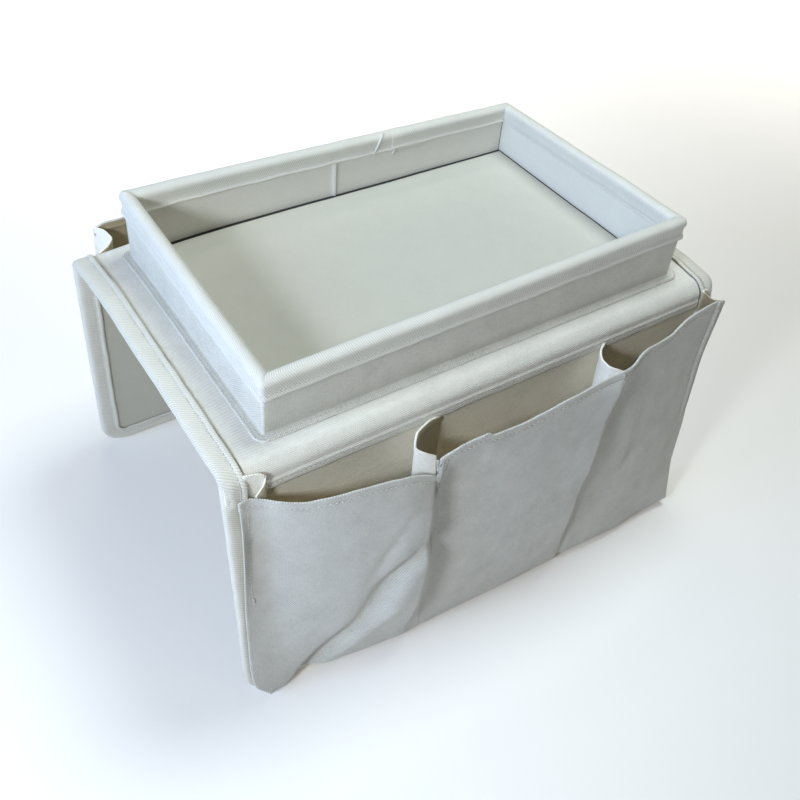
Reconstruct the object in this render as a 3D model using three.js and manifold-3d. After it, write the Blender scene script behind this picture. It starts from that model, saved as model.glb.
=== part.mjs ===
// Armrest organizer: a boarded saddle cloth with a walled tray on top and a pocketed flap down each side.
// Millimetres. +X runs along the armrest, the flap with three pockets faces -Y, and +Z is up.
// The origin is the centre of the top panel's underside, the face that lies on the armrest.
import * as THREE from "three";
import { mergeVertices } from "three/addons/utils/BufferGeometryUtils.js";
import Module from "manifold-3d";

const wasm = await Module();
wasm.setup();

// Top panel and flaps
const topLength = 356; // along X, over the edge tape
const topWidth = 220; // along Y, from fold to fold
const flapLength = 187.5; // from the fold's centre line to the flap's lower edge
const flapCornerRadius = 18;
const foldRadius = 8; // outside of the cloth where it turns down
const frontSplay = 4; // degrees the standing flap leans out
const rearSplay = 6;

// Layers
const clothThickness = 0.8;
const boardThickness = 2;
const layerGap = 0.3; // between any two pieces that touch
const boardSetback = 3; // from the tape's inner edge to the board inside the panel

// Binding tape
const tapeThickness = 0.8;
const edgeTapeWidth = 11.5; // on each face of a panel
const edgeTapeProud = 0.6; // above the outer cloth; inside it lies flush with the lining
const pinchRun = 1.4; // length over which the cloth slopes down under the tape
const pinchOverlap = 1; // a flap's pinched border and its flat middle share this much
const leastCornerRadius = 0.6; // where an inset leaves less of a round corner

// Tray
const ledgeLeft = 32.25; // top panel left bare beside the tray
const ledgeRight = 26.25;
const ledgeSide = 18.5; // and along the front and the rear
const trayHeight = 42; // rim above the top panel
const trayCornerRadius = 4;
const wallBoardThickness = 3.3;
const rimTapeDepth = 13; // down each side of the wall
const wallNoseRise = 0.6; // wall's top edge above the centre of the rim tape's round nose
const footWidth = 5; // flange that is sewn to the top panel
const insertClearance = 1.5; // round the loose floor, so that it passes the rim tape
const insertClothThickness = 0.6;
const insertBoardThickness = 1.5;
const insertTurnUnder = 16; // cloth folded under the floor board
const insertCornerRadius = 1.5;

// Pocket strips. Across a flap x is measured from its middle, and a drop is measured down the flap from the
// fold's centre line. A depth is the distance from the flap's cloth to the pocket's front. A flare is how far
// the strip's end reaches past the side line at its hem, and a low flare the same at its bottom. A divider is
// a folded gusset: it is tacked to the flap at one place and to the hem at another, its corner.
const pocketSeamRise = 1; // from the lower tape's inner edge up to the pocket's bottom seam
const pocketFloorSag = 9; // the bottom turn hangs this far below its seam
const creaseDepth = 5; // valley that runs down beside each divider
const creaseWidth = 11;
const creaseShift = 12; // it lies this far right of the divider's corner
const pocketSideInset = 0.5; // from the side tape's inner edge to the pocket's side
const turnShare = 0.22; // share of the strip's rows, from its bottom seam up, that make the bottom turn
const gussetLow = 0.16; // share of the pocket's height above the turn that the gussets leave free
const gussetNoseShare = 0.42; // largest radius of a gusset's nose, as a share of the pocket's depth there
const depthCurve = 0.8; // under 1 the pocket's front swells early on its way up
const valleyReach = 1.05; // over 1 a divider's valley fades out just below the hem
const pocketDepth = 23; // from the flap's cloth to a divider's corner
const frontLeftWidth = 124.5; // left pocket of the front strip, from the side line to its divider's tack
const frontRightWidth = 80.5; // right pocket of the front strip, the same

const halfLength = topLength / 2;
const pocketSide = halfLength - edgeTapeWidth - pocketSideInset; // the side line

// A divider leans left from its tack by its lean at the hem, and by its low lean at the pocket's bottom.
// Its fold's nose reaches left past the corner.

const frontPockets = {
  leftDepth: 5,
  rightDepth: 7,
  leftFloorDepth: 7.5,
  rightFloorDepth: 16,
  leftDrop: 11,
  rightDrop: 8,
  leftFlare: 0,
  rightFlare: 17,
  leftLowFlare: 0,
  rightLowFlare: 5.5,
  leftNose: 9,
  rightNose: 3,
  gussetTopDrop: 4,
  noseRadius: 1,
  dividers: [
    {
      tack: frontLeftWidth - pocketSide,
      tackDrop: 12.5,
      lean: 17.5,
      lowLean: 21,
      drop: 20,
      floorDepth: 14.5,
      nose: 7,
      noseRadius: 6,
    },
    {
      tack: pocketSide - frontRightWidth,
      tackDrop: 8.5,
      lean: 3.5,
      lowLean: 17.5,
      drop: 19,
      floorDepth: 18,
      nose: 6,
      noseRadius: 6,
    },
  ],
  sags: [7, 0, 1],
  bellies: [3, 0.5, -3],
};

const rearPockets = {
  leftDepth: 22,
  rightDepth: 22,
  leftFloorDepth: 5,
  rightFloorDepth: 5,
  leftDrop: -4,
  rightDrop: -4,
  leftFlare: -3,
  rightFlare: -5,
  leftLowFlare: 0,
  rightLowFlare: 0,
  leftNose: 14,
  rightNose: 14,
  gussetTopDrop: 3,
  noseRadius: 4,
  dividers: [
    { tack: 0, tackDrop: 3, lean: 9, lowLean: 6, drop: -2, floorDepth: 17, nose: 9, noseRadius: 6 },
  ],
  sags: [5, 5],
  bellies: [2, 2],
};

// Worked-out sizes
const panelThickness = 2 * clothThickness + 2 * layerGap + boardThickness;
const foldCentreY = topWidth / 2 - foldRadius;
const foldCentreZ = panelThickness - foldRadius;
const tapeHeight = panelThickness + edgeTapeProud;
const clothInset = tapeHeight / 2; // cloth edges stop at the middle of the tape's round nose
const boardInset = edgeTapeWidth + boardSetback;
const trayLength = topLength - ledgeLeft - ledgeRight; // over the wall cloth
const trayWidth = topWidth - 2 * ledgeSide;
const trayShift = (ledgeLeft - ledgeRight) / 2; // from the top panel's middle to the tray's
const wallThickness = 2 * (clothThickness + layerGap) + wallBoardThickness;
const rimThickness = wallThickness + 2 * (layerGap + tapeThickness);
const rimTop = panelThickness + trayHeight;
const wallFoot = panelThickness + layerGap;
const wallTop = rimTop - rimThickness / 2 + wallNoseRise;
const insertThickness = 2 * (insertClothThickness + layerGap) + insertBoardThickness;
const pocketSeamDrop = flapLength - edgeTapeWidth - pocketSeamRise;

// Heights of a panel's layers above its inner face, and of its cloth where the tape pinches it
const liningLevel = { low: 0, high: clothThickness };
const boardLevel = { low: clothThickness + layerGap, high: clothThickness + layerGap + boardThickness };
const coverLevel = { low: panelThickness - clothThickness, high: panelThickness };
const liningPinch = {
  low: tapeThickness + layerGap,
  high: tapeThickness + layerGap + clothThickness,
};
const coverPinch = {
  low: tapeHeight - tapeThickness - layerGap - clothThickness,
  high: tapeHeight - tapeThickness - layerGap,
};

const clothFinish = new THREE.MeshStandardMaterial({ color: 0xd9dbd0, roughness: 0.92, metalness: 0 });
const liningFinish = new THREE.MeshStandardMaterial({ color: 0xb9bbae, roughness: 0.95, metalness: 0 });
const tapeFinish = new THREE.MeshStandardMaterial({ color: 0xe4e5dc, roughness: 0.88, metalness: 0 });
const boardFinish = new THREE.MeshStandardMaterial({ color: 0xa08a68, roughness: 0.9, metalness: 0 });

const radians = THREE.MathUtils.degToRad;
const lerp = THREE.MathUtils.lerp;

// Geometry with its faces turned outwards
function facingOut(geometry) {
  const p = geometry.getAttribute("position");
  const index = geometry.index.array;
  const [a, b, c] = [new THREE.Vector3(), new THREE.Vector3(), new THREE.Vector3()];
  let volume = 0;
  for (let i = 0; i < index.length; i += 3) {
    a.fromBufferAttribute(p, index[i]);
    b.fromBufferAttribute(p, index[i + 1]);
    c.fromBufferAttribute(p, index[i + 2]);
    volume += a.dot(b.cross(c));
  }
  if (volume < 0) index.reverse();
  return geometry;
}

// Closed solid through sections that all have the same number of points. The cap triangles fill the first
// and last section, unless the sections run round in a loop.
function loft(sections, capTriangles, looped = false) {
  const around = sections[0].length;
  const index = [];
  const steps = looped ? sections.length : sections.length - 1;
  for (let i = 0; i < steps; i++) {
    const here = i * around;
    const next = ((i + 1) % sections.length) * around;
    for (let j = 0; j < around; j++) {
      const k = (j + 1) % around;
      index.push(here + j, here + k, next + k, here + j, next + k, next + j);
    }
  }
  if (!looped) {
    const last = (sections.length - 1) * around;
    for (const [a, b, c] of capTriangles) index.push(a, c, b, last + a, last + b, last + c);
  }
  const geometry = new THREE.BufferGeometry();
  const position = sections.flat().flatMap((p) => [p.x, p.y, p.z]);
  geometry.setAttribute("position", new THREE.Float32BufferAttribute(position, 3));
  geometry.setIndex(index);
  return facingOut(geometry);
}

// Triangles that fill a flat outline, turned the way the outline runs
function fill(outline) {
  const forwards = !THREE.ShapeUtils.isClockWise(outline);
  return THREE.ShapeUtils.triangulateShape(outline, []).map(([a, b, c]) => {
    const turnsForwards = THREE.ShapeUtils.area([outline[a], outline[b], outline[c]]) > 0;
    return turnsForwards === forwards ? [a, b, c] : [a, c, b];
  });
}

// Solid of a profile carried along an edge. edge(inset) gives the edge's points moved in by an inset, a
// profile point is an inset and a level, and place turns both into space.
function sweep(edge, profile, place) {
  const lines = profile.map((p) => edge(p.x));
  const sections = lines[0].map((_, i) => profile.map((p, j) => place(lines[j][i], p.y)));
  return loft(sections, fill(profile));
}

// Ring of a profile carried round a closed outline that lies flat
function ring(outline, profile) {
  const sections = profile.map((p) => outline(p.x).map((q) => new THREE.Vector3(q.x, q.y, p.y)));
  return loft(sections, [], true);
}

// Sheet of cloth of even thickness along a curved surface, which is given as rows of points
function sheet(rows, thickness) {
  const last = rows.length - 1;
  const end = rows[0].length - 1;
  const side = (row, j, offset) => {
    const along = rows[Math.min(row + 1, last)][j].clone().sub(rows[Math.max(row - 1, 0)][j]);
    const across = rows[row][Math.min(j + 1, end)].clone().sub(rows[row][Math.max(j - 1, 0)]);
    return rows[row][j].clone().addScaledVector(along.cross(across).normalize(), offset);
  };
  const sections = rows.map((row, i) => {
    const front = row.map((_, j) => side(i, j, thickness / 2));
    const back = row.map((_, j) => side(i, j, -thickness / 2));
    return [...front, ...back.reverse()];
  });
  const caps = [];
  for (let j = 0; j < end; j++) {
    const back = 2 * end + 1 - j;
    caps.push([j, j + 1, back - 1], [j, back - 1, back]);
  }
  return loft(sections, caps);
}

// Points of an arc in a plane, from one angle to another in degrees
function arc(x, y, radius, from, to, steps) {
  return Array.from({ length: steps + 1 }, (_, i) => {
    const angle = radians(lerp(from, to, i / steps));
    return new THREE.Vector2(x + radius * Math.cos(angle), y + radius * Math.sin(angle));
  });
}

// Rectangle about the origin with round corners, moved in by an inset
function roundedRectangle(halfX, halfY, cornerRadius) {
  return (inset) => {
    const radius = Math.max(cornerRadius - inset, leastCornerRadius);
    const x = halfX - inset - radius;
    const y = halfY - inset - radius;
    return [
      ...arc(x, y, radius, 0, 90, 5),
      ...arc(-x, y, radius, 90, 180, 5),
      ...arc(-x, -y, radius, 180, 270, 5),
      ...arc(x, -y, radius, 270, 360, 5),
    ];
  };
}

// Folded tape in section: two legs joined by a round nose. x is the depth from the nose, y the height.
function tapeProfile(width, height) {
  const outer = height / 2;
  const inner = outer - tapeThickness;
  return [
    new THREE.Vector2(width, 0),
    ...arc(outer, outer, outer, 270, 90, 8),
    new THREE.Vector2(width, height),
    new THREE.Vector2(width, height - tapeThickness),
    ...arc(outer, outer, inner, 90, 270, 8),
    new THREE.Vector2(width, tapeThickness),
  ];
}

// Section of a cloth's side where it runs in under the tape: x is the inset, y the level
function pinchProfile(level, pinch, overlap) {
  const tapeEnd = edgeTapeWidth + layerGap;
  return [
    new THREE.Vector2(clothInset, pinch.low),
    new THREE.Vector2(tapeEnd, pinch.low),
    new THREE.Vector2(tapeEnd + pinchRun, level.low),
    ...overlap.map((inset) => new THREE.Vector2(inset, level.low)),
    ...overlap.map((inset) => new THREE.Vector2(inset, level.high)),
    new THREE.Vector2(tapeEnd + pinchRun, level.high),
    new THREE.Vector2(tapeEnd, pinch.high),
    new THREE.Vector2(clothInset, pinch.high),
  ];
}

// Whole section of a cloth across the length, with both sides pinched
function pinchedSection(level, pinch) {
  const side = pinchProfile(level, pinch, []);
  const half = side.length / 2;
  const left = side.map((p) => new THREE.Vector2(p.x - halfLength, p.y));
  const right = side.map((p) => new THREE.Vector2(halfLength - p.x, p.y));
  return [
    ...left.slice(0, half),
    ...right.slice(0, half).reverse(),
    ...right.slice(half).reverse(),
    ...left.slice(half),
  ];
}

function solidOf(geometry) {
  const bare = new THREE.BufferGeometry();
  bare.setAttribute("position", geometry.getAttribute("position"));
  if (geometry.index) bare.setIndex(geometry.index);
  const merged = mergeVertices(bare, 1e-4);
  const vertProperties = merged.getAttribute("position").array;
  const triVerts = new Uint32Array(merged.index.array);
  return new wasm.Manifold(new wasm.Mesh({ numProp: 3, vertProperties, triVerts }));
}

function joined(first, second) {
  const mesh = solidOf(first).add(solidOf(second)).getMesh();
  const geometry = new THREE.BufferGeometry();
  geometry.setAttribute("position", new THREE.Float32BufferAttribute(mesh.vertProperties, 3));
  geometry.setIndex(new THREE.Uint32BufferAttribute(mesh.triVerts, 1));
  return geometry;
}

// Straight solid with a section in X and Z, centred along Y
function extrudeAlongY(section, length) {
  const geometry = new THREE.ExtrudeGeometry(new THREE.Shape(section), {
    depth: length,
    bevelEnabled: false,
  });
  return geometry.rotateX(Math.PI / 2).translate(0, length / 2, 0);
}

function plate(outline, low, high) {
  const geometry = new THREE.ExtrudeGeometry(new THREE.Shape(outline), {
    depth: high - low,
    bevelEnabled: false,
  });
  return geometry.translate(0, 0, low);
}

function addPiece(parent, name, geometry, finish) {
  const mesh = new THREE.Mesh(geometry, finish);
  mesh.name = name;
  parent.add(mesh);
  return mesh;
}

// Top panel: board between two cloths, with tape over its two short edges
function buildTopPanel(parent) {
  const length = 2 * foldCentreY - 2 * layerGap;
  const coverSection = pinchedSection(coverLevel, coverPinch);
  const liningSection = pinchedSection(liningLevel, liningPinch);
  addPiece(parent, "top_cover", extrudeAlongY(coverSection, length), clothFinish);
  addPiece(parent, "top_lining", extrudeAlongY(liningSection, length), liningFinish);

  const boardLength = 2 * (halfLength - boardInset);
  const board = new THREE.BoxGeometry(boardLength, length, boardThickness);
  board.translate(0, 0, (boardLevel.low + boardLevel.high) / 2);
  addPiece(parent, "top_board", board, boardFinish);

  for (const [side, direction] of [["left", 1], ["right", -1]]) {
    const edge = (inset) => [
      new THREE.Vector2(-direction * (halfLength - inset), -length / 2),
      new THREE.Vector2(-direction * (halfLength - inset), length / 2),
    ];
    const place = (p, level) => new THREE.Vector3(p.x, p.y, level);
    const tape = sweep(edge, tapeProfile(edgeTapeWidth, tapeHeight), place);
    addPiece(parent, "top_tape_" + side, tape, tapeFinish);
  }
}

// Tray walls: a board on each side inside a sleeve of cloth, bound over the rim with tape
function buildTray(parent) {
  const halfX = trayLength / 2;
  const halfY = trayWidth / 2;
  const wall = roundedRectangle(halfX, halfY, trayCornerRadius);

  const cover = [
    new THREE.Vector2(-footWidth, wallFoot),
    new THREE.Vector2(-footWidth, wallFoot + clothThickness),
    new THREE.Vector2(0, wallFoot + clothThickness),
    new THREE.Vector2(0, wallTop),
    new THREE.Vector2(clothThickness, wallTop),
    new THREE.Vector2(clothThickness, wallFoot),
  ];
  addPiece(parent, "tray_wall_cover", ring(wall, cover), clothFinish);

  const lining = [
    new THREE.Vector2(wallThickness - clothThickness, wallFoot),
    new THREE.Vector2(wallThickness - clothThickness, wallTop),
    new THREE.Vector2(wallThickness, wallTop),
    new THREE.Vector2(wallThickness, wallFoot),
  ];
  addPiece(parent, "tray_wall_lining", ring(wall, lining), liningFinish);

  const boardInWall = clothThickness + layerGap;
  const boardHeight = wallTop - wallFoot;
  const boardZ = (wallTop + wallFoot) / 2;
  const cornerRoom = trayCornerRadius - boardInWall;
  const longBoard = 2 * (halfX - boardInWall - cornerRoom);
  const shortBoard = 2 * (halfY - boardInWall - wallBoardThickness - layerGap);
  const boardY = halfY - boardInWall - wallBoardThickness / 2;
  const boardX = halfX - boardInWall - wallBoardThickness / 2;
  for (const [side, direction] of [["front", -1], ["rear", 1]]) {
    const geometry = new THREE.BoxGeometry(longBoard, wallBoardThickness, boardHeight);
    const board = addPiece(parent, "tray_board_" + side, geometry, boardFinish);
    board.position.set(0, direction * boardY, boardZ);
  }
  for (const [side, direction] of [["left", -1], ["right", 1]]) {
    const geometry = new THREE.BoxGeometry(wallBoardThickness, shortBoard, boardHeight);
    const board = addPiece(parent, "tray_board_" + side, geometry, boardFinish);
    board.position.set(direction * boardX, 0, boardZ);
  }

  const rimProud = layerGap + tapeThickness;
  const rim = roundedRectangle(halfX + rimProud, halfY + rimProud, trayCornerRadius + rimProud);
  const rimProfile = tapeProfile(rimTapeDepth, rimThickness).map(
    (p) => new THREE.Vector2(p.y, rimTop - p.x),
  );
  addPiece(parent, "tray_rim_tape", ring(rim, rimProfile), tapeFinish);
}

// Loose tray floor: a thin board with its cloth turned under all round
function buildTrayFloor(parent) {
  const halfX = trayLength / 2 - wallThickness - insertClearance;
  const halfY = trayWidth / 2 - wallThickness - insertClearance;
  const outline = roundedRectangle(halfX, halfY, insertCornerRadius);
  const low = wallFoot;
  const high = wallFoot + insertThickness;
  const cloth = insertClothThickness;
  const profile = [
    [0, high],
    [0, low],
    [insertTurnUnder, low],
    [insertTurnUnder, low + cloth],
    [cloth, low + cloth],
    [cloth, high - cloth],
  ];
  const loops = profile.map(([inset, z]) => outline(inset).map((q) => new THREE.Vector3(q.x, q.y, z)));
  addPiece(parent, "tray_floor_cover", loft(loops, fill(outline(0))), clothFinish);

  const boardOutline = outline(cloth + layerGap);
  const board = plate(boardOutline, low + cloth + layerGap, high - cloth - layerGap);
  addPiece(parent, "tray_floor_board", board, boardFinish);
}

// A flap's side and lower edges as a line, moved in by an inset; x across the flap, y the drop
function flapEdge(inset) {
  const half = halfLength - inset;
  const bottom = flapLength - inset;
  const radius = Math.max(flapCornerRadius - inset, leastCornerRadius);
  return [
    new THREE.Vector2(-half, layerGap),
    ...arc(-half + radius, bottom - radius, radius, 180, 90, 6),
    ...arc(half - radius, bottom - radius, radius, 90, 0, 6),
    new THREE.Vector2(half, layerGap),
  ];
}

// A place on a flap: x across, the drop down the flap, and the height above the flap's inner face
function onFlap(point, level) {
  return new THREE.Vector3(point.x, panelThickness - foldRadius - level, -point.y);
}

// Board and two cloths with tape round three edges, hanging from the fold's centre line
function buildFlap(parent, name) {
  const cloths = [
    ["_cover", coverLevel, coverPinch, clothFinish],
    ["_lining", liningLevel, liningPinch, liningFinish],
  ];
  const turnDown = new THREE.Matrix4().makeRotationX(Math.PI / 2);
  const inPlane = (geometry) => geometry.applyMatrix4(turnDown).translate(0, panelThickness - foldRadius, 0);
  const upright = (outline) => outline.map((p) => new THREE.Vector2(p.x, -p.y));

  const middle = edgeTapeWidth + layerGap + pinchRun;
  for (const [suffix, level, pinch, finish] of cloths) {
    const border = sweep(flapEdge, pinchProfile(level, pinch, [middle + pinchOverlap]), onFlap);
    const field = inPlane(plate(upright(flapEdge(middle + pinchOverlap / 2)), level.low, level.high));
    addPiece(parent, name + suffix, joined(field, border), finish);
  }

  const board = inPlane(plate(upright(flapEdge(boardInset)), boardLevel.low, boardLevel.high));
  addPiece(parent, name + "_board", board, boardFinish);

  const tape = sweep(flapEdge, tapeProfile(edgeTapeWidth, tapeHeight), onFlap);
  addPiece(parent, name + "_tape", tape, tapeFinish);
}

// Cloth and tapes that bend where the flap turns down: sections turned about the fold's centre line
function buildFold(parent, name, splay) {
  const steps = 8;
  const clearAngle = layerGap / foldRadius;
  const from = clearAngle;
  const to = Math.PI / 2 - radians(splay) - clearAngle;
  const turned = (section) =>
    Array.from({ length: steps + 1 }, (_, i) => {
      const angle = lerp(from, to, i / steps);
      return section.map((p) => {
        const radius = foldRadius - panelThickness + p.y;
        return new THREE.Vector3(p.x, -radius * Math.sin(angle), radius * Math.cos(angle));
      });
    });

  const cover = pinchedSection(coverLevel, coverPinch);
  const lining = pinchedSection(liningLevel, liningPinch);
  const half = cover.length / 2;
  const cloth = [...lining.slice(0, half), ...cover.slice(half)];
  addPiece(parent, name + "_cloth", loft(turned(cloth), fill(cloth)), clothFinish);

  for (const [side, direction] of [["left", -1], ["right", 1]]) {
    const tape = tapeProfile(edgeTapeWidth, tapeHeight).map(
      (p) => new THREE.Vector2(direction * (halfLength - p.x), p.y),
    );
    addPiece(parent, name + "_tape_" + side, loft(turned(tape), fill(tape)), tapeFinish);
  }
}

// The pocket strip's stations from left to right: its two ends and the dividers between them
function pocketStations(pockets) {
  return [
    {
      low: -pocketSide - pockets.leftLowFlare,
      high: -pocketSide - pockets.leftFlare,
      depth: pockets.leftDepth,
      floorDepth: pockets.leftFloorDepth,
      drop: pockets.leftDrop,
      crease: 0,
    },
    ...pockets.dividers.map((divider) => ({
      low: divider.tack - divider.lowLean,
      high: divider.tack - divider.lean,
      depth: pocketDepth,
      floorDepth: divider.floorDepth,
      drop: divider.drop,
      crease: creaseDepth,
    })),
    {
      low: pocketSide + pockets.rightLowFlare,
      high: pocketSide + pockets.rightFlare,
      depth: pockets.rightDepth,
      floorDepth: pockets.rightFloorDepth,
      drop: pockets.rightDrop,
      crease: 0,
    },
  ];
}

// Point on the strip's front: which pocket, how far across it, and how far up from the bottom seam
function pocketPoint(pockets, pocket, across, up) {
  const stations = pocketStations(pockets);
  const left = stations[pocket];
  const right = stations[pocket + 1];
  const mix = (key) => lerp(left[key], right[key], across);
  const arch = Math.sin(Math.PI * across);
  const seamDepth = layerGap + edgeTapeProud + clothThickness;
  const floorDepth = mix("floorDepth");
  if (up < turnShare) {
    const turn = (Math.PI * up) / turnShare;
    const depth = lerp(seamDepth, floorDepth, (1 - Math.cos(turn)) / 2);
    return { x: mix("low"), drop: pocketSeamDrop + pocketFloorSag * Math.sin(turn), depth };
  }
  const rise = (up - turnShare) / (1 - turnShare);
  const x = lerp(mix("low"), mix("high"), rise * rise);
  const hemDrop = mix("drop") + pockets.sags[pocket] * arch;
  const hemDepth = mix("depth") + pockets.bellies[pocket] * arch;
  const drop = lerp(pocketSeamDrop, hemDrop, rise);
  const depth = lerp(floorDepth, hemDepth, Math.pow(rise, depthCurve));
  const fade = Math.sin(Math.PI * Math.min(rise * valleyReach, 1));
  const valley = [left, right].map((station) => {
    const corner = lerp(station.low, station.high, rise * rise);
    const away = (x - corner - creaseShift) / creaseWidth;
    return station.crease * Math.exp(-away * away);
  });
  return { x, drop, depth: depth - fade * Math.max(...valley) };
}

function onPocket(point) {
  return onFlap(new THREE.Vector2(point.x, point.drop), panelThickness + point.depth);
}

// Front of the pocket strip, sewn to the flap along its bottom and gathered out at each divider
function buildPocketFront(parent, name, pockets) {
  const columns = 13;
  const turnRows = 5;
  const riseRows = 7;
  const heights = [
    ...Array.from({ length: turnRows }, (_, i) => (turnShare * i) / turnRows),
    ...Array.from({ length: riseRows + 1 }, (_, i) => lerp(turnShare, 1, i / riseRows)),
  ];
  const rows = [];
  const count = pockets.dividers.length + 1;
  for (let pocket = 0; pocket < count; pocket++) {
    const last = pocket === count - 1 ? columns : columns - 1;
    for (let i = 0; i <= last; i++) {
      const across = (1 - Math.cos((Math.PI * i) / columns)) / 2;
      rows.push(heights.map((up) => onPocket(pocketPoint(pockets, pocket, across, up))));
    }
  }
  addPiece(parent, name + "_pocket_front", sheet(rows, clothThickness), clothFinish);
}

// Plan of a folded gusset at one height: out from the flap, round a nose, and on to the pocket's front
function gussetPlan(fromX, fromDepth, toX, toDepth, noseX, noseRadius) {
  const middle = (fromDepth + toDepth) / 2;
  const radius = Math.min(noseRadius, gussetNoseShare * (toDepth - fromDepth));
  const direction = Math.sign(noseX - fromX);
  const bend = arc(noseX - direction * radius, middle, radius, -90, 90, 6).map((p) => {
    const reach = p.x - (noseX - direction * radius);
    return new THREE.Vector2(noseX - direction * radius + direction * reach, p.y);
  });
  return [new THREE.Vector2(fromX, fromDepth), ...bend, new THREE.Vector2(toX, toDepth)];
}

// Gussets of a strip: one folded inwards at each end and one at each divider
function buildGussets(parent, name, pockets) {
  const last = pockets.dividers.length;
  const edgeGap = layerGap + clothThickness;
  const gussets = [
    {
      name: "_gusset_left",
      place: (up) => pocketPoint(pockets, 0, 0, up),
      from: -pocketSide + clothThickness,
      shift: clothThickness,
      nose: () => -pocketSide + pockets.leftNose,
      radius: pockets.noseRadius,
      top: pockets.gussetTopDrop,
    },
    ...pockets.dividers.map((divider, i) => ({
      name: "_divider_" + (i + 1),
      place: (up) => pocketPoint(pockets, i, 1, up),
      from: divider.tack,
      shift: 0,
      nose: (front) => front.x - divider.nose,
      radius: divider.noseRadius,
      top: divider.tackDrop,
    })),
    {
      name: "_gusset_right",
      place: (up) => pocketPoint(pockets, last, 1, up),
      from: pocketSide - clothThickness,
      shift: -clothThickness,
      nose: () => pocketSide - pockets.rightNose,
      radius: pockets.noseRadius,
      top: pockets.gussetTopDrop,
    },
  ];
  const steps = 8;
  for (const gusset of gussets) {
    const low = turnShare + gussetLow * (1 - turnShare);
    const rows = Array.from({ length: steps + 1 }, (_, i) => {
      const up = lerp(low, 1, i / steps);
      const front = gusset.place(up);
      const rise = i / steps;
      const plan = gussetPlan(
        gusset.from,
        edgeGap,
        front.x + gusset.shift,
        front.depth - edgeGap,
        gusset.nose(front),
        gusset.radius,
      );
      const lowDrop = gusset.place(low).drop;
      const flapDrop = lerp(lowDrop, gusset.top, rise);
      return plan.map((p, j) => {
        const share = j / (plan.length - 1);
        return onPocket({ x: p.x, drop: lerp(flapDrop, front.drop, share), depth: p.y });
      });
    });
    addPiece(parent, name + gusset.name, sheet(rows, clothThickness), clothFinish);
  }
}

// One side of the organizer: the fold, and from its centre line the flap with its pockets
function buildSide(parent, name, splay, pockets, turn) {
  const side = new THREE.Group();
  side.rotation.z = turn;
  parent.add(side);

  const fold = new THREE.Group();
  fold.position.set(0, -foldCentreY, foldCentreZ);
  side.add(fold);
  buildFold(fold, name + "_fold", splay);

  const flap = new THREE.Group();
  flap.rotation.x = -radians(splay);
  fold.add(flap);
  buildFlap(flap, name + "_flap");
  buildPocketFront(flap, name, pockets);
  buildGussets(flap, name, pockets);
}

const group = new THREE.Group();
buildTopPanel(group);
const tray = new THREE.Group();
tray.position.x = trayShift;
group.add(tray);
buildTray(tray);
buildTrayFloor(tray);
buildSide(group, "front", frontSplay, frontPockets, 0);
buildSide(group, "rear", rearSplay, rearPockets, Math.PI);

export default group;
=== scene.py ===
import math

import bmesh
import bpy
import numpy as np
from mathutils import Matrix, Vector


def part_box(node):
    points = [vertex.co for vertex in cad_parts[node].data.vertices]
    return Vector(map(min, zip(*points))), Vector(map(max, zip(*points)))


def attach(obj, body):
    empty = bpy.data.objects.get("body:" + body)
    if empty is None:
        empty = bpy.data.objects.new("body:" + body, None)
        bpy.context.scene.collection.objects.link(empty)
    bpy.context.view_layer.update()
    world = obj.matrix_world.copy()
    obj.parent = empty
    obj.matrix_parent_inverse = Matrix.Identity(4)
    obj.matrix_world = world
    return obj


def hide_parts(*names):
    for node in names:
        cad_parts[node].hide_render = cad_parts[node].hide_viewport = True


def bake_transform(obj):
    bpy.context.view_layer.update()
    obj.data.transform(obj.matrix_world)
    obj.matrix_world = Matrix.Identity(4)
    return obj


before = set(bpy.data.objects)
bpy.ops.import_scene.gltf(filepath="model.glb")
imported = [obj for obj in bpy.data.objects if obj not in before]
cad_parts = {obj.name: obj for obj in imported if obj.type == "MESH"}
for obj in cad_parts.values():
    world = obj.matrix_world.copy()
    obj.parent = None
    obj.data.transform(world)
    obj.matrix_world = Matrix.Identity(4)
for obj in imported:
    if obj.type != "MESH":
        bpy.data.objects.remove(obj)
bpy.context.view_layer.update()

MM = 0.001

# Camera, from the fit to the photograph
CAMERA_PLACE = (-291.4, -398.5, 366.6)
CAMERA_ROUND, CAMERA_UP, CAMERA_ROLL = math.radians(-37.2), math.radians(44.4), math.radians(5.84)
CAMERA_LENS, CAMERA_SENSOR = 42.17, 36
# The photograph's side in pixels
PHOTO_SIZE = 800

# Sizes in millimetres
TOP_LENGTH, TOP_WIDTH, FLAP_LENGTH = 356.0, 220.0, 187.5
CORNER, FOLD = 18.0, 8.0
SPLAY = {"front": math.radians(4), "rear": math.radians(6)}
PANEL = 4.2
TAPE_WIDTH = 11.5
HALF = TOP_LENGTH / 2
FOLD_Y = TOP_WIDTH / 2 - FOLD
FOLD_Z = PANEL - FOLD
TRAY_LENGTH, TRAY_WIDTH, TRAY_HEIGHT, TRAY_SHIFT = 297.5, 183.0, 42.0, 3.0
WALL = 5.5
RIM_TOP = PANEL + TRAY_HEIGHT
FLOOR_TOP = 7.8
FLOOR_SLIP = 0.7
CLOTH = 0.8
# Rows of stitches: in from the tape's edge at the saddle, and up from the upper covers' hem edge
TAPE_STITCH, HEM_STITCH = 8.4, 2.6
HEM_DROP = 9.5
SIDES = ("front", "rear")
# The rear half is the front one turned round
TURN = {"front": 1, "rear": -1}
# The saddle's halves lap a little at the middle line, one just under the other
TONGUE, TONGUE_DROP = 0.5, 0.02


# Helpers
def ease(t):
    t = np.clip(t, 0, 1)
    return t * t * (3 - 2 * t)


def step(x, a, b):
    return ease((np.asarray(x, float) - a) / (b - a))


def hump(x, centre, width):
    return np.exp(-(((np.asarray(x, float) - centre) / width) ** 2))


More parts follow.
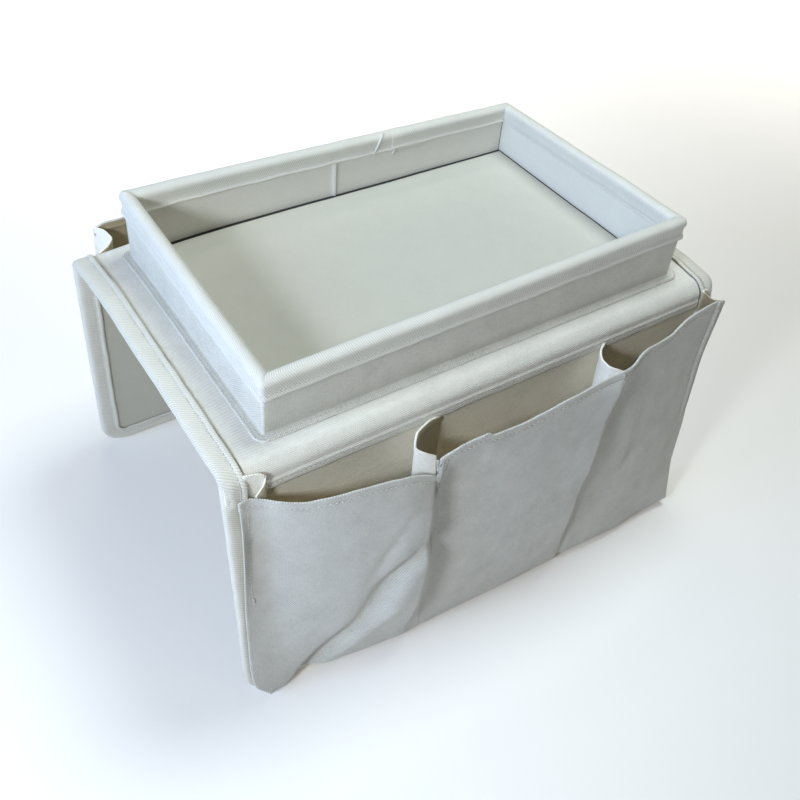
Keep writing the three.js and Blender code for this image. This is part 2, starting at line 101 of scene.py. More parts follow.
def through(x, xs, ys):
    """Smooth curve through control values, without overshoot."""
    xs, ys, x = np.asarray(xs, float), np.asarray(ys, float), np.asarray(x, float)
    run, rise = np.diff(xs), np.diff(ys)
    slope = rise / run
    tangent = np.zeros(len(xs))
    tangent[0], tangent[-1] = slope[0], slope[-1]
    same = slope[1:] * slope[:-1] > 0
    mean = 2 * slope[1:] * slope[:-1] / np.where(same, slope[1:] + slope[:-1], 1)
    tangent[1:-1] = np.where(same, mean, 0)
    i = np.clip(np.searchsorted(xs, x) - 1, 0, len(xs) - 2)
    t = np.clip((x - xs[i]) / run[i], 0, 1)
    t2, t3 = t * t, t * t * t
    return (
        (2 * t3 - 3 * t2 + 1) * ys[i]
        + (t3 - 2 * t2 + t) * run[i] * tangent[i]
        + (3 * t2 - 2 * t3) * ys[i + 1]
        + (t3 - t2) * run[i] * tangent[i + 1]
    )


class Noise:
    """Smooth seeded noise over a plane, about -1 to 1; cell is the size of its features."""

    def __init__(self, seed):
        self.grid = np.random.default_rng(seed).uniform(-1, 1, (128, 128))

    def __call__(self, u, v, cell):
        u, v = np.broadcast_arrays(np.asarray(u, float) / cell, np.asarray(v, float) / cell)
        i, j = np.floor(u).astype(int), np.floor(v).astype(int)
        fu, fv = u - i, v - j
        fu = fu * fu * fu * (fu * (fu * 6 - 15) + 10)
        fv = fv * fv * fv * (fv * (fv * 6 - 15) + 10)
        g = self.grid
        a, b = g[i % 128, j % 128], g[(i + 1) % 128, j % 128]
        c, d = g[i % 128, (j + 1) % 128], g[(i + 1) % 128, (j + 1) % 128]
        return (a * (1 - fu) + b * fu) * (1 - fv) + (c * (1 - fu) + d * fu) * fv


wave = Noise(7)


def unit(v):
    return v / np.maximum(np.linalg.norm(v, axis=-1, keepdims=True), 1e-9)


def points_of(*parts):
    return np.stack(np.broadcast_arrays(*parts), -1).astype(float)


def run_along(p):
    """Length along a row of points, from its first."""
    return np.concatenate([[0], np.cumsum(np.linalg.norm(np.diff(p, axis=0), axis=-1))])


def quads(rows, columns, loop_rows=False, start=0):
    i = np.arange(rows if loop_rows else rows - 1)
    i, j = np.meshgrid(i, np.arange(columns - 1), indexing="ij")
    i2 = (i + 1) % rows
    f = np.stack([i * columns + j, i2 * columns + j, i2 * columns + j + 1, i * columns + j + 1], -1)
    return f.reshape(-1, 4) + start


def normals_of(p, loop_rows=False):
    down = np.roll(p, -1, 0) - np.roll(p, 1, 0) if loop_rows else np.gradient(p, axis=0)
    return unit(np.cross(down, np.gradient(p, axis=1)))


def finish_mesh(name, points, faces, flats, material, inside=None, inside_faces=()):
    """Mesh object from points in millimetres; flats are the points' places on the flat cloth."""
    mesh = bpy.data.meshes.new(name)
    mesh.from_pydata((warp(np.asarray(points, float)) * MM).tolist(), [], faces)
    bm = bmesh.new()
    bm.from_mesh(mesh)
    bmesh.ops.recalc_face_normals(bm, faces=bm.faces)
    layer = bm.loops.layers.uv.new("flat")
    scaled = (np.asarray(flats, float) * MM).tolist()
    bm.faces.ensure_lookup_table()
    for k in inside_faces:
        bm.faces[k].material_index = 1
    for face in bm.faces:
        face.smooth = True
        for loop in face.loops:
            loop[layer].uv = scaled[loop.vert.index]
    bm.to_mesh(mesh)
    bm.free()
    mesh.materials.append(material)
    if inside:
        mesh.materials.append(inside)
    obj = bpy.data.objects.new(name, mesh)
    bpy.context.scene.collection.objects.link(obj)
    return obj


def cloth(name, p, flat, material, thick=CLOTH, loop_rows=False, inside=None, inside_layer=0):
    """Sheet of cloth about a grid of points: two faces and rounded edges. thick may vary over the grid."""
    rows, columns = p.shape[:2]
    count = rows * columns
    t = np.broadcast_to(np.asarray(thick, float), (rows, columns))[..., None]
    n = normals_of(p, loop_rows)
    points = [(p + n * t / 2).reshape(-1, 3), (p - n * t / 2).reshape(-1, 3)]
    flats = [flat.reshape(-1, 2)] * 2
    faces = quads(rows, columns, loop_rows).tolist()
    inside_faces = range(inside_layer * len(faces), (inside_layer + 1) * len(faces)) if inside else ()
    faces += quads(rows, columns, loop_rows, count)[:, ::-1].tolist()
    grid = np.arange(count).reshape(rows, columns)
    if loop_rows:
        borders = [(grid[:, 0], grid[:, 1]), (grid[:, -1], grid[:, -2])]
    else:
        around = np.concatenate([grid[0, :-1], grid[:-1, -1], grid[-1, :0:-1], grid[:0:-1, 0]])
        inner = np.clip(np.stack(np.unravel_index(around, (rows, columns)), -1), 1, [rows - 2, columns - 2])
        borders = [(around, inner[:, 0] * columns + inner[:, 1])]
    middle, thickness, flat_rows = p.reshape(-1, 3), t.reshape(-1, 1), flat.reshape(-1, 2)
    used = 2 * count
    for line, next_line in borders:
        points.append(middle[line] + unit(middle[line] - middle[next_line]) * thickness[line] * 0.42)
        flats.append(flat_rows[line])
        ids = used + np.arange(len(line))
        used += len(line)
        after, ids_after = np.roll(line, -1), np.roll(ids, -1)
        faces += np.stack([line, ids, ids_after, after], -1).tolist()
        faces += np.stack([ids, line + count, after + count, ids_after], -1).tolist()
    points, flats = np.concatenate(points), np.concatenate(flats)
    return finish_mesh(name, points, faces, flats, material, inside, inside_faces)


def grid_flat(u, v):
    return points_of(*np.meshgrid(u, v, indexing="ij"))


# Places on the object
def bend_length(side):
    return FOLD * (math.pi / 2 - SPLAY[side])


def whole_run(side):
    return FOLD_Y + bend_length(side) + FLAP_LENGTH


def on_flap(side, x, drop, level):
    """A place on a flap; level is the height above the flap's inner face."""
    t = -SPLAY[side]
    y, z = PANEL - FOLD - np.asarray(level, float), -np.asarray(drop, float)
    turn = TURN[side]
    new_y = y * math.cos(t) - z * math.sin(t) - FOLD_Y
    return points_of(np.asarray(x) * turn, new_y * turn, y * math.sin(t) + z * math.cos(t) + FOLD_Z)


def camera_ways():
    """The camera's ways across its picture, up it and back out of it."""
    a, e, r = CAMERA_ROUND, CAMERA_UP, CAMERA_ROLL
    back = Vector((math.sin(a) * math.cos(e), -math.cos(a) * math.cos(e), math.sin(e)))
    right = (-back).cross(Vector((0, 0, 1))).normalized()
    up = right.cross(-back)
    across = right * math.cos(r) + up * math.sin(r)
    above = -right * math.sin(r) + up * math.cos(r)
    return across, above, back


def seen(pixel_x, pixel_y, out=None, drop=None, side="front", aside=0.0, lower=0.0, further=0.0):
    """The place on a flap that shows at a pixel of the photograph: x, drop and distance out.

    Either out or drop is known beforehand. aside, lower and further then move the place a little.
    """
    across, above, back = (np.array(way) for way in camera_ways())
    half = PHOTO_SIZE / 2
    sight = (
        across * (pixel_x - half) - above * (pixel_y - half)
        - back * CAMERA_LENS / CAMERA_SENSOR * PHOTO_SIZE
    )
    level = PANEL + (out or 0)
    start = on_flap(side, 0, drop or 0, level)
    along = on_flap(side, 1, drop or 0, level) - start
    other = (on_flap(side, 0, 1, level) if drop is None else on_flap(side, 0, drop, level + 1)) - start
    x, found, _ = np.linalg.solve(np.stack([along, other, -sight], 1), np.array(CAMERA_PLACE) - start)
    place = (x, found, out) if drop is None else (x, drop, found)
    return place[0] + aside, place[1] + lower, place[2] + further


def on_saddle(side, x, s, level):
    """A place s out from the top's middle line: over the top, round the fold and down the flap."""
    s, level, x = np.broadcast_arrays(np.asarray(s, float), np.asarray(level, float), np.asarray(x, float))
    drop = s - FOLD_Y - bend_length(side)
    angle = np.clip((s - FOLD_Y) / FOLD, 0, math.pi / 2 - SPLAY[side])
    radius = FOLD - PANEL + level
    y = np.where(s < FOLD_Y, -s, -FOLD_Y - radius * np.sin(angle))
    z = np.where(s < FOLD_Y, level, FOLD_Z + radius * np.cos(angle))
    turn = TURN[side]
    return np.where((drop > 0)[..., None], on_flap(side, x, drop, level), points_of(x * turn, y * turn, z))


def corners(x, y, front_left, front_right, rear_left, rear_right):
    """Value over the tray's rectangle from the values at its four corners."""
    u = np.clip((x - TRAY_SHIFT) / TRAY_LENGTH + 0.5, 0, 1)
    v = np.clip(y / TRAY_WIDTH + 0.5, 0, 1)
    return (front_left * (1 - u) + front_right * u) * (1 - v) + (rear_left * (1 - u) + rear_right * u) * v


def warp(p):
    """The twist of the real thing: boards and cloth are never quite flat. Every piece goes through it."""
    x, y, z = p[..., 0], p[..., 1], p[..., 2]
    top = 1 - step(np.abs(y), 80, 104)
    rise = np.clip((z - 5) / 40, 0, 1)
    base = top * corners(x, y, 0, 2, 1.5, 0)
    rim = corners(x, y, -3, 3, 4, -3.5)
    droop = -5 * step(-x, 90, 178) * step(y, 40, 108) * step(z, -160, -20)
    uneven = 0.35 * wave(x + 400, y + 400, 37) * top
    dz = base * (1 - rise) + rim * rise + droop * (1 - rise) + uneven
    hang = step(-z, 10, 90)
    dy = 0.9 * wave(x + 700, z + 500, 83) * hang * np.sign(y)
    return np.stack([x, y + dy, z + dz], -1)


def fold_blend(obj):
    """Bake the placement of a piece that lies over a fold, between the saddle and a flap, into its mesh."""
    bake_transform(obj)


# Camera, floor and light
def place_camera():
    across, above, back = camera_ways()
    data = bpy.data.cameras.new("camera")
    data.lens, data.sensor_width = CAMERA_LENS, CAMERA_SENSOR
    data.clip_start, data.clip_end = 0.05, 20
    camera = bpy.data.objects.new("camera", data)
    turn = Matrix((across, above, back)).transposed().to_4x4()
    camera.matrix_world = Matrix.Translation(Vector(CAMERA_PLACE) * MM) @ turn
    bpy.context.scene.collection.objects.link(camera)
    bpy.context.scene.camera = camera


def area_light(name, place, aim, size, power, colour, spread=180):
    data = bpy.data.lights.new(name, "AREA")
    data.shape, data.size, data.energy, data.color = "DISK", size, power, colour
    data.spread = math.radians(spread)
    light = bpy.data.objects.new(name, data)
    light.location = place
    light.rotation_mode = "QUATERNION"
    light.rotation_quaternion = (Vector(aim) - Vector(place)).to_track_quat("-Z", "Y")
    bpy.context.scene.collection.objects.link(light)


OBJECT = (0, 0, -0.05)
LIGHTS = {
    "window": ((-1.4, -0.05, 0.5), OBJECT, 0.8, 12.6, (0.41, 0.61, 1.0)),
    "lamp": ((-0.65, -0.35, 0.35), OBJECT, 0.14, 3.2, (0.86, 0.94, 1.0)),
    "ceiling": ((0.3, 0.04, 1.0), OBJECT, 0.5, 7.4, (0.84, 0.95, 0.97)),
    "front_ceiling": ((0.1, -0.7, 1.35), OBJECT, 0.8, 1.5, (1.0, 0.78, 0.5)),
    "backdrop": ((0.35, 1.2, 1.4), (0.45, 1.45, -0.24), 1.2, 15.0, (1.0, 0.97, 0.92), 95),
    "backdrop_right": ((1.35, 0.35, 1.2), (1.6, 0.3, -0.24), 0.8, 5.0, (1.0, 0.97, 0.92), 70),
}
WORLD_COLOUR, WORLD_STRENGTH = (1.0, 0.99, 0.97), 0.04

place_camera()
for light_name, light_row in LIGHTS.items():
    area_light(light_name, *light_row)
bpy.context.scene.view_settings.view_transform = "Standard"


# Materials
class Shader:
    """Small helper for building a node material from the flat cloth's coordinates, in millimetres."""

    def __init__(self, name, sheen=0.25, specular=0.25):
        self.material = bpy.data.materials.new(name)
        self.material.use_nodes = True
        self.tree = self.material.node_tree
        self.skin = self.tree.nodes["Principled BSDF"]
        self.skin.inputs["Sheen Weight"].default_value = sheen
        self.skin.inputs["Sheen Roughness"].default_value = 0.45
        self.skin.inputs["Specular IOR Level"].default_value = specular
        flat = self.node("ShaderNodeUVMap", uv_map="flat")
        self.place = self.node("ShaderNodeVectorMath", operation="SCALE")
        self.place.inputs["Scale"].default_value = 1000
        self.join(flat.outputs[0], self.place.inputs[0])
        split = self.node("ShaderNodeSeparateXYZ")
        self.join(self.place.outputs[0], split.inputs[0])
        self.u, self.v = split.outputs[0], split.outputs[1]

    def node(self, kind, **settings):
        made = self.tree.nodes.new(kind)
        for key, value in settings.items():
            setattr(made, key, value)
        return made

    def join(self, start, end):
        self.tree.links.new(start, end)

    def math(self, operation, a, b=None, clamp=False):
        made = self.node("ShaderNodeMath", operation=operation, use_clamp=clamp)
        for socket, value in zip(made.inputs, (a, b)):
            if value is None:
                continue
            if isinstance(value, (int, float)):
                socket.default_value = value
            else:
                self.join(value, socket)
        return made.outputs[0]

    def ribs(self, across, along, pitch):
        """Ridges 0 to 1 along a slanting direction of the cloth."""
        slant = self.math("ADD", self.math("MULTIPLY", self.u, across), self.math("MULTIPLY", self.v, along))
        turn = self.math("SINE", self.math("MULTIPLY", slant, 2 * math.pi / pitch))
        return self.math("ADD", self.math("MULTIPLY", turn, 0.5), 0.5)

    def noise(self, size, detail=2.0, rough=0.5, stretch=None):
        """Noise 0 to 1 with features about size millimetres wide."""
        source = self.place.outputs[0]
        if stretch:
            scaled = self.node("ShaderNodeVectorMath", operation="MULTIPLY")
            scaled.inputs[1].default_value = (*stretch, 1)
            self.join(source, scaled.inputs[0])
            source = scaled.outputs[0]
        made = self.node("ShaderNodeTexNoise")
        made.inputs["Scale"].default_value = 1 / size
        made.inputs["Detail"].default_value = detail
        made.inputs["Roughness"].default_value = rough
        self.join(source, made.inputs["Vector"])
        return made.outputs[0]

    def total(self, *weighted):
        """Sum of (value, weight) pairs."""
        parts = [self.math("MULTIPLY", value, weight) for value, weight in weighted]
        while len(parts) > 1:
            parts.append(self.math("ADD", parts.pop(0), parts.pop(0)))
        return parts[0]

    def ramp(self, value, stops):
        made = self.node("ShaderNodeValToRGB")
        line = made.color_ramp
        for i, (at, colour) in enumerate(stops):
            stop = line.elements[i] if i < 2 else line.elements.new(at)
            stop.position, stop.color = at, (*colour, 1)
        self.join(value, made.inputs[0])
        return made.outputs[0]

    def finish(self, shade, tones, height, depth, rough):
        """shade 0 to 1 picks between tones; height 0 to 1 is raised by depth mm; rough is (low, high)."""
        self.join(self.ramp(shade, tones), self.skin.inputs["Base Color"])
        bump = self.node("ShaderNodeBump")
        bump.inputs["Strength"].default_value = 1
        bump.inputs["Distance"].default_value = depth * MM
        self.join(height, bump.inputs["Height"])
        self.join(bump.outputs[0], self.skin.inputs["Normal"])
        span = self.node("ShaderNodeMapRange")
        span.inputs["To Min"].default_value, span.inputs["To Max"].default_value = rough
        self.join(shade, span.inputs["Value"])
        self.join(span.outputs[0], self.skin.inputs["Roughness"])
        return self.material


def tinted(colour, amount):
    return tuple(min(1.0, c * amount) for c in colour)


def twill(name, colour, pitch, depth, contrast=1.0, slope=1.0, foot=None, painted_shade_lines=()):
    """Twill cloth: slanting ribs, single threads, slubs along the threads and faint handling marks.

    Painted shade darkens it past foot along v, for the shade in the crease at a wall's foot, and on narrow
    painted shade lines along u, for the shade in corners and beside a tape's edge.
    """
    s = Shader(name)
    rib = s.ribs(1, slope, pitch)
    thread = s.ribs(0, 1, pitch * 0.62)
    slub = s.noise(1.1, 3, 0.6, (0.25, 1.6))
    slub_across = s.noise(1.3, 2, 0.6, (1.6, 0.3))
    mark = s.noise(16, 4, 0.55)
    shade = s.total((rib, 0.20), (thread, 0.08), (slub, 0.30), (slub_across, 0.22), (mark, 0.26))
    # painted shade: past foot along v the tone falls to near black, for the shaded crease by the floor
    if foot:
        shade = s.math("MULTIPLY", shade, s.math("DIVIDE", s.math("SUBTRACT", foot, s.v), 0.6, clamp=True))
    # painted shade: a narrow dark line at each place along u
    for place in painted_shade_lines:
        gap = s.math("ABSOLUTE", s.math("SUBTRACT", s.u, place))
        shade = s.math("MULTIPLY", shade, s.math("DIVIDE", gap, 1.1, clamp=True))
    # the darkest stop serves the painted shade
    tones = [
        (0.04, tinted(colour, 0.10)),
        (0.18, tinted(colour, 1 - 0.20 * contrast)),
        (0.50, colour),
        (0.86, tinted(colour, 1 + 0.10 * contrast)),
    ]
    height = s.total((rib, 0.5), (thread, 0.2), (slub, 0.2), (slub_across, 0.15), (s.noise(5, 3), 0.5))
    return s.finish(shade, tones, height, depth, (0.92, 0.74))


def rib_tape(name, colour, pitch, depth):
    """Binding tape: slanting ribs all across it, pulled a little by its stitches."""
    s = Shader(name, sheen=0.3)
    pull = s.noise(7, 2)
    slant = s.math("ADD", s.math("ADD", s.u, s.math("MULTIPLY", s.v, 0.55)), s.math("MULTIPLY", pull, 1.6))
    rib = s.math(
        "ADD", s.math("MULTIPLY", s.math("SINE", s.math("MULTIPLY", slant, 2 * math.pi / pitch)), 0.5), 0.5
    )
    fibre = s.noise(0.6, 3, 0.6, (0.5, 2.2))
    mark = s.noise(18, 3)
    shade = s.total((rib, 0.42), (fibre, 0.34), (mark, 0.26))
    tones = [(0.15, tinted(colour, 0.72)), (0.5, colour), (0.85, tinted(colour, 1.13))]
    height = s.total((rib, 0.75), (fibre, 0.25), (pull, 0.4))
    return s.finish(shade, tones, height, depth, (0.9, 0.68))


def card(name, colour):
    """Grey board: pressed fibres and flecks."""
    s = Shader(name, sheen=0, specular=0.3)
    fibre = s.noise(0.9, 4, 0.7, (0.3, 1.7))
    fleck = s.noise(0.5, 1)
    shade = s.total((fibre, 0.6), (fleck, 0.2), (s.noise(25, 2), 0.2))
    tones = [(0.25, tinted(colour, 0.75)), (0.5, colour), (0.8, tinted(colour, 1.2))]
    return s.finish(shade, tones, fibre, 0.12, (0.95, 0.8))


def cotton_thread(name, colour):
    """Sewing thread: its twist shows as slanting plies."""
    s = Shader(name, sheen=0.4)
    ply = s.ribs(1, 0.8, 0.55)
    fibre = s.noise(0.3, 2, 0.6)
    shade = s.total((ply, 0.5), (fibre, 0.5))
    tones = [(0.2, tinted(colour, 0.78)), (0.55, colour), (0.9, tinted(colour, 1.08))]
    return s.finish(shade, tones, ply, 0.08, (0.85, 0.6))


# Corners of the lining as places along its band, from its seam: painted shade lines run down them
LINING_SEAM, LINING_INSET = 0.8, WALL - 0.45
INNER_X, INNER_Y = TRAY_LENGTH / 2 - LINING_INSET, TRAY_WIDTH / 2 - LINING_INSET
FIRST_CORNER = LINING_SEAM - TRAY_SHIFT + INNER_X
ROUND_TO_CORNER = (0, 2 * INNER_Y, 2 * (INNER_X + INNER_Y), 2 * INNER_X + 4 * INNER_Y)
LINING_CORNERS = [FIRST_CORNER + way for way in ROUND_TO_CORNER]
# COVER, TOP, FLAP_WARM_LIT, POCKET_SHADED and LEAF_LIT are one ivory twill in different tones. Painted shade:
# COVER, on the tray's walls, is darker than TOP for the walls' shaded faces
COVER = twill("cover_twill", (0.72, 0.70, 0.63), 1.4, 0.30, 2.9)
# Painted shadow: a dark line on the top's cloth along each tape's inner edge
TOP_TAPE_LINE = HALF - TAPE_WIDTH - 0.8
TOP = twill("top_twill", (0.80, 0.775, 0.70), 1.4, 0.26, 2.2, painted_shade_lines=(-TOP_TAPE_LINE, TOP_TAPE_LINE))
# Painted light: the flap's outer cloth, which shows only inside the pockets, in a brighter, warmer tone for
# the warm light there
FLAP_WARM_LIT = twill("flap_warm_lit_twill", (0.90, 0.835, 0.695), 1.4, 0.26, 2.2)
# Painted shade: the pocket strip in a darker tone of the cloth, for its front faces in shade
POCKET_SHADED = twill("pocket_shaded_twill", (0.61, 0.60, 0.56), 1.8, 0.40, 2.5, -1.0)
# Painted light: the dividers and gussets in a lighter tone of the same cloth, for the light from the left on
# them
LEAF_LIT = twill("leaf_lit_twill", (0.96, 0.91, 0.80), 1.5, 0.34, 2.0)
# Painted shade: the back faces of the strip and leaves in a dark warm tone, for the shade inside the pockets
INSIDE_SHADE = twill("inside_shade_twill", (0.50, 0.43, 0.28), 1.5, 0.30, 1.5)
# Painted shade on the lining: dark past its foot, the crease by the floor, and down its corners
LINING = twill("lining_weave", (0.77, 0.755, 0.69), 0.85, 0.10, 0.8, foot=34.3, painted_shade_lines=LINING_CORNERS)
UNDER = twill("under_weave", (0.53, 0.51, 0.435), 0.85, 0.10, 0.8)
INSERT = twill("insert_weave", (0.590, 0.578, 0.510), 0.80, 0.10, 0.8)
TAPE = rib_tape("edge_tape", (0.703, 0.678, 0.598), 1.6, 0.15)
RIM_TAPE = rib_tape("rim_tape", (0.775, 0.757, 0.69), 1.35, 0.16)
BOARD = card("grey_board", (0.42, 0.40, 0.35))
THREAD = cotton_thread("thread", (0.83, 0.82, 0.76))


# Stitches
def stitches(name, path, normal, body=None, side=None, pitch=3.0, share=0.72, radius=0.3, sink=0.1):
    """A row of stitches along a path of points; normal is the way out of the cloth at each."""
    run = run_along(path)
    count = int(run[-1] / pitch)
    starts = np.arange(count) * run[-1] / count + pitch * (1 - share) / 2
    jitter = wave(starts, np.full(count, radius * 100), 3.1) * 0.18
    along = np.array([0, 0.12, 0.5, 0.88, 1.0])
    swell = np.array([0.35, 0.9, 1.0, 0.9, 0.35])
    lift = np.array([-0.6, 0.25, 0.45, 0.25, -0.6])
    at = starts[:, None] + jitter[:, None] + along[None] * pitch * share
    centre = np.stack([np.interp(at, run, path[:, k]) for k in range(3)], -1)
    out = unit(np.stack([np.interp(at, run, normal[:, k]) for k in range(3)], -1))
    ahead = unit(centre[:, -1:] - centre[:, :1]) * np.ones((1, len(along), 1))
    aside = unit(np.cross(out, ahead))
    centre = centre + out * (lift * radius - sink * radius)[None, :, None]
    turn = np.arange(6) * math.pi / 3
    ring = out[:, :, None] * np.cos(turn)[None, None, :, None] + aside[:, :, None] * np.sin(turn)[
        None, None, :, None
    ]
    p = centre[:, :, None] + ring * (swell * radius)[None, :, None, None]
    index = np.arange(count * len(along) * 6).reshape(count, len(along), 6)
    near, far = index[:, :-1], index[:, 1:]
    wall = np.stack([near, far, np.roll(far, -1, 2), np.roll(near, -1, 2)], -1).reshape(-1, 4)
    faces = wall.tolist() + index[:, 0, ::-1].tolist() + index[:, -1].tolist()
    flat = np.stack(
        [np.broadcast_to(at[:, :, None], p.shape[:3]), np.broadcast_to(turn * radius, p.shape[:3])], -1
    )
    obj = finish_mesh(name, p.reshape(-1, 3), faces, flat.reshape(-1, 2), THREAD)
    if body:
        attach(obj, body)
    elif side:
        fold_blend(obj)
    return obj


def loose_end(name, points, radius, body):
    """A loose end of thread that follows a few points and thins out at its tip."""
    knots, t = np.linspace(0, 1, len(points)), np.linspace(0, 1, 22)
    centre = np.stack([through(t, knots, [row[k] for row in points]) for k in range(3)], -1)
    ahead = unit(np.gradient(centre, axis=0))
    aside = unit(np.cross(ahead, [0.3, 1.0, 0.1]))
    turn = (np.arange(8) * math.pi / 4)[:, None, None]
    thin = (radius * (1 - 0.65 * step(t, 0.7, 1)))[None, :, None]
    p = centre[None] + (aside[None] * np.cos(turn) + np.cross(aside, ahead)[None] * np.sin(turn)) * thin
    index = np.arange(8 * len(t)).reshape(8, len(t))
    faces = quads(8, len(t), loop_rows=True).tolist() + [index[::-1, 0].tolist(), index[:, -1].tolist()]
    flat = grid_flat(turn[:, 0, 0] * radius, run_along(centre))
    obj = finish_mesh(name, p.reshape(-1, 3), faces, flat.reshape(-1, 2), THREAD)
    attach(obj, body)


# Saddle: covers, linings, boards
def flap_half(drop, inset):
    """Half the flap's width at a drop, inside its rounded lower corners."""
    down = np.clip(np.asarray(drop, float) - (FLAP_LENGTH - CORNER), 0, CORNER - inset)
    return HALF - CORNER + np.sqrt(np.maximum((CORNER - inset) ** 2 - down**2, 0))


def upper_cover(side):
    """The top's outer cloth: it runs over the fold and ends in a turned hem on the flap."""
    fold_end = FOLD_Y + bend_length(side)
    s = np.concatenate([[-TONGUE], np.linspace(0, FOLD_Y - 6, 32), np.linspace(FOLD_Y - 4, fold_end, 14)])
    s = np.concatenate([s, fold_end + np.linspace(0.5, HEM_DROP, 14)])
    x = np.linspace(-HALF + 0.6, HALF - 0.6, 150)
    drop = (s - fold_end)[None] + 0 * x[:, None]
    ripple = wave(x, 5, 11)[:, None] * 0.5 + wave(x, 9, 4)[:, None] * 0.15
    run = s[None] + ripple * step(drop, 3, HEM_DROP)
    turned = step(drop, 3.4, 4.6)
    pucker = hump(drop, HEM_DROP - HEM_STITCH, 0.9) * (0.16 + 0.1 * wave(x, 2, 2.7)[:, None])
    roll = 0.16 * hump(drop, -9, 4) * (1 + wave(x, 30, 28)[:, None])
    level = 3.8 + 1.0 * step(drop, -6, 1.5) + 0.38 * turned + roll - pucker - TONGUE_DROP * (s < 0)
    p = on_saddle(side, x[:, None], run, level)
    turn = TURN[side]
    flat = grid_flat(x * turn, -s * turn)
    # the top's material carries painted shadow lines beside the tapes' inner edges
    obj = cloth(f"{side}_upper_cover", p, flat, TOP, CLOTH + 0.75 * turned)
    fold_blend(obj)
    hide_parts("top_cover", f"{side}_fold_cloth")
    row = np.linspace(-HALF + 1, HALF - 1, 240)
    stitch_run = fold_end + HEM_DROP - HEM_STITCH + 0.35 * wave(row, 5, 11)
    path = on_saddle(side, row, stitch_run, 5.75)
    out = on_saddle(side, row, stitch_run, 8.0) - path
    thread = stitches(f"{side}_cover_hem_thread", path, out, side=side, pitch=2.9, radius=0.26)


def flap_sheets(side):
    """A flap's outer cloth and its board."""
    flap = f"{side}_flap"
    drops = np.concatenate([np.linspace(1.2, 150, 60), np.linspace(152, FLAP_LENGTH - 0.8, 22)])
    across = np.linspace(-1, 1, 120)
    x = across[:, None] * flap_half(drops, 0.8)[None]
    turn = TURN[side]
    level = 3.8 + 0.12 * wave(x + 300, drops[None] + 300, 18)
    flat = points_of(x * turn, -drops[None] * turn - 111)
    # painted light: the flap's cloth in its brighter, warmer tone
    cover = cloth(f"{side}_flap_outer", on_flap(side, x, drops[None], level), flat, FLAP_WARM_LIT)
    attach(cover, flap)
    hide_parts(f"{side}_flap_cover")
    drops = np.concatenate([np.linspace(3.5, 150, 30), np.linspace(153, FLAP_LENGTH - 3, 16)])
    x = np.linspace(-1, 1, 60)[:, None] * flap_half(drops, 3)[None]
    board = cloth(
        f"{side}_flap_stiffener", on_flap(side, x, drops[None], 2.1), points_of(x, drops[None]), BOARD,
        2.0,
    )
    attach(board, flap)
    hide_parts(f"{side}_flap_board")


def saddle_lining(side):
    """The lining of half the saddle: under the top, round inside the fold and down the flap."""
    fold_end = FOLD_Y + bend_length(side)
    s = np.concatenate([[-TONGUE], np.linspace(0, FOLD_Y - 5, 28), np.linspace(FOLD_Y - 3, fold_end + 2, 14)])
    s = np.concatenate(
        [s, fold_end + np.linspace(5, 150, 44), fold_end + np.linspace(152, FLAP_LENGTH - 0.8, 20)]
    )
    drop = s - fold_end
    across = np.linspace(-1, 1, 110)
    x = across[:, None] * flap_half(np.maximum(drop, 0), 0.8)[None]
    loose = (1 - hump(across, -1, 0.1) - hump(across, 1, 0.1))[:, None]
    sag = np.maximum(0, wave(x + 90, s[None] + 60, 42)) * 0.5 * loose
    p = on_saddle(side, x, s[None], 0.4 - sag * step(drop, 12, 30)[None] + TONGUE_DROP * (s < 0))
    turn = TURN[side]
    obj = cloth(f"{side}_saddle_lining", p, points_of(x * turn, -s[None] * turn), UNDER)
    fold_blend(obj)
    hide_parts("top_lining", f"{side}_flap_lining")


def top_stiffener():
    """The board in the top."""
    x, y = np.linspace(-HALF + 3, HALF - 3, 60), np.linspace(-FOLD_Y + 0.5, FOLD_Y - 0.5, 40)
    p = points_of(x[:, None], y[None], 2.1)
    obj = cloth("top_stiffener", p, grid_flat(x, y), BOARD, 2.0)
    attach(obj, "saddle")
    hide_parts("top_board")


# Binding tape round the saddle's edges
def edge_stations(side, spacing=2.2):
    """Stations along the three bound edges of half a saddle: place x and s, and the way in from the edge."""
    straight = whole_run(side) - CORNER
    s = np.concatenate([[-TONGUE], np.linspace(0, straight, int(straight / spacing))])
    left = np.stack([np.full(len(s), -HALF), s, np.ones(len(s)), np.zeros(len(s))], 1)
    a = np.linspace(0, math.pi / 2, 16)[1:-1]
    arc = np.stack(
        [-HALF + CORNER * (1 - np.cos(a)), straight + CORNER * np.sin(a), np.cos(a), -np.sin(a)], 1
    )
    half = np.concatenate([left, arc])
    x = np.linspace(-HALF + CORNER, HALF - CORNER, int((TOP_LENGTH - 2 * CORNER) / spacing))
    bottom = np.stack([x, np.full(len(x), whole_run(side)), np.zeros(len(x)), -np.ones(len(x))], 1)
    return np.concatenate([half, bottom, half[::-1] * [-1, 1, -1, 1]])


def tape_place(side, stations, w, level):
    """A point of the tape: w in from the edge, at a level of the panel."""
    x = stations[:, 0][:, None] + stations[:, 2][:, None] * w
    s = stations[:, 1][:, None] + stations[:, 3][:, None] * w
    return on_saddle(side, x, s, level)


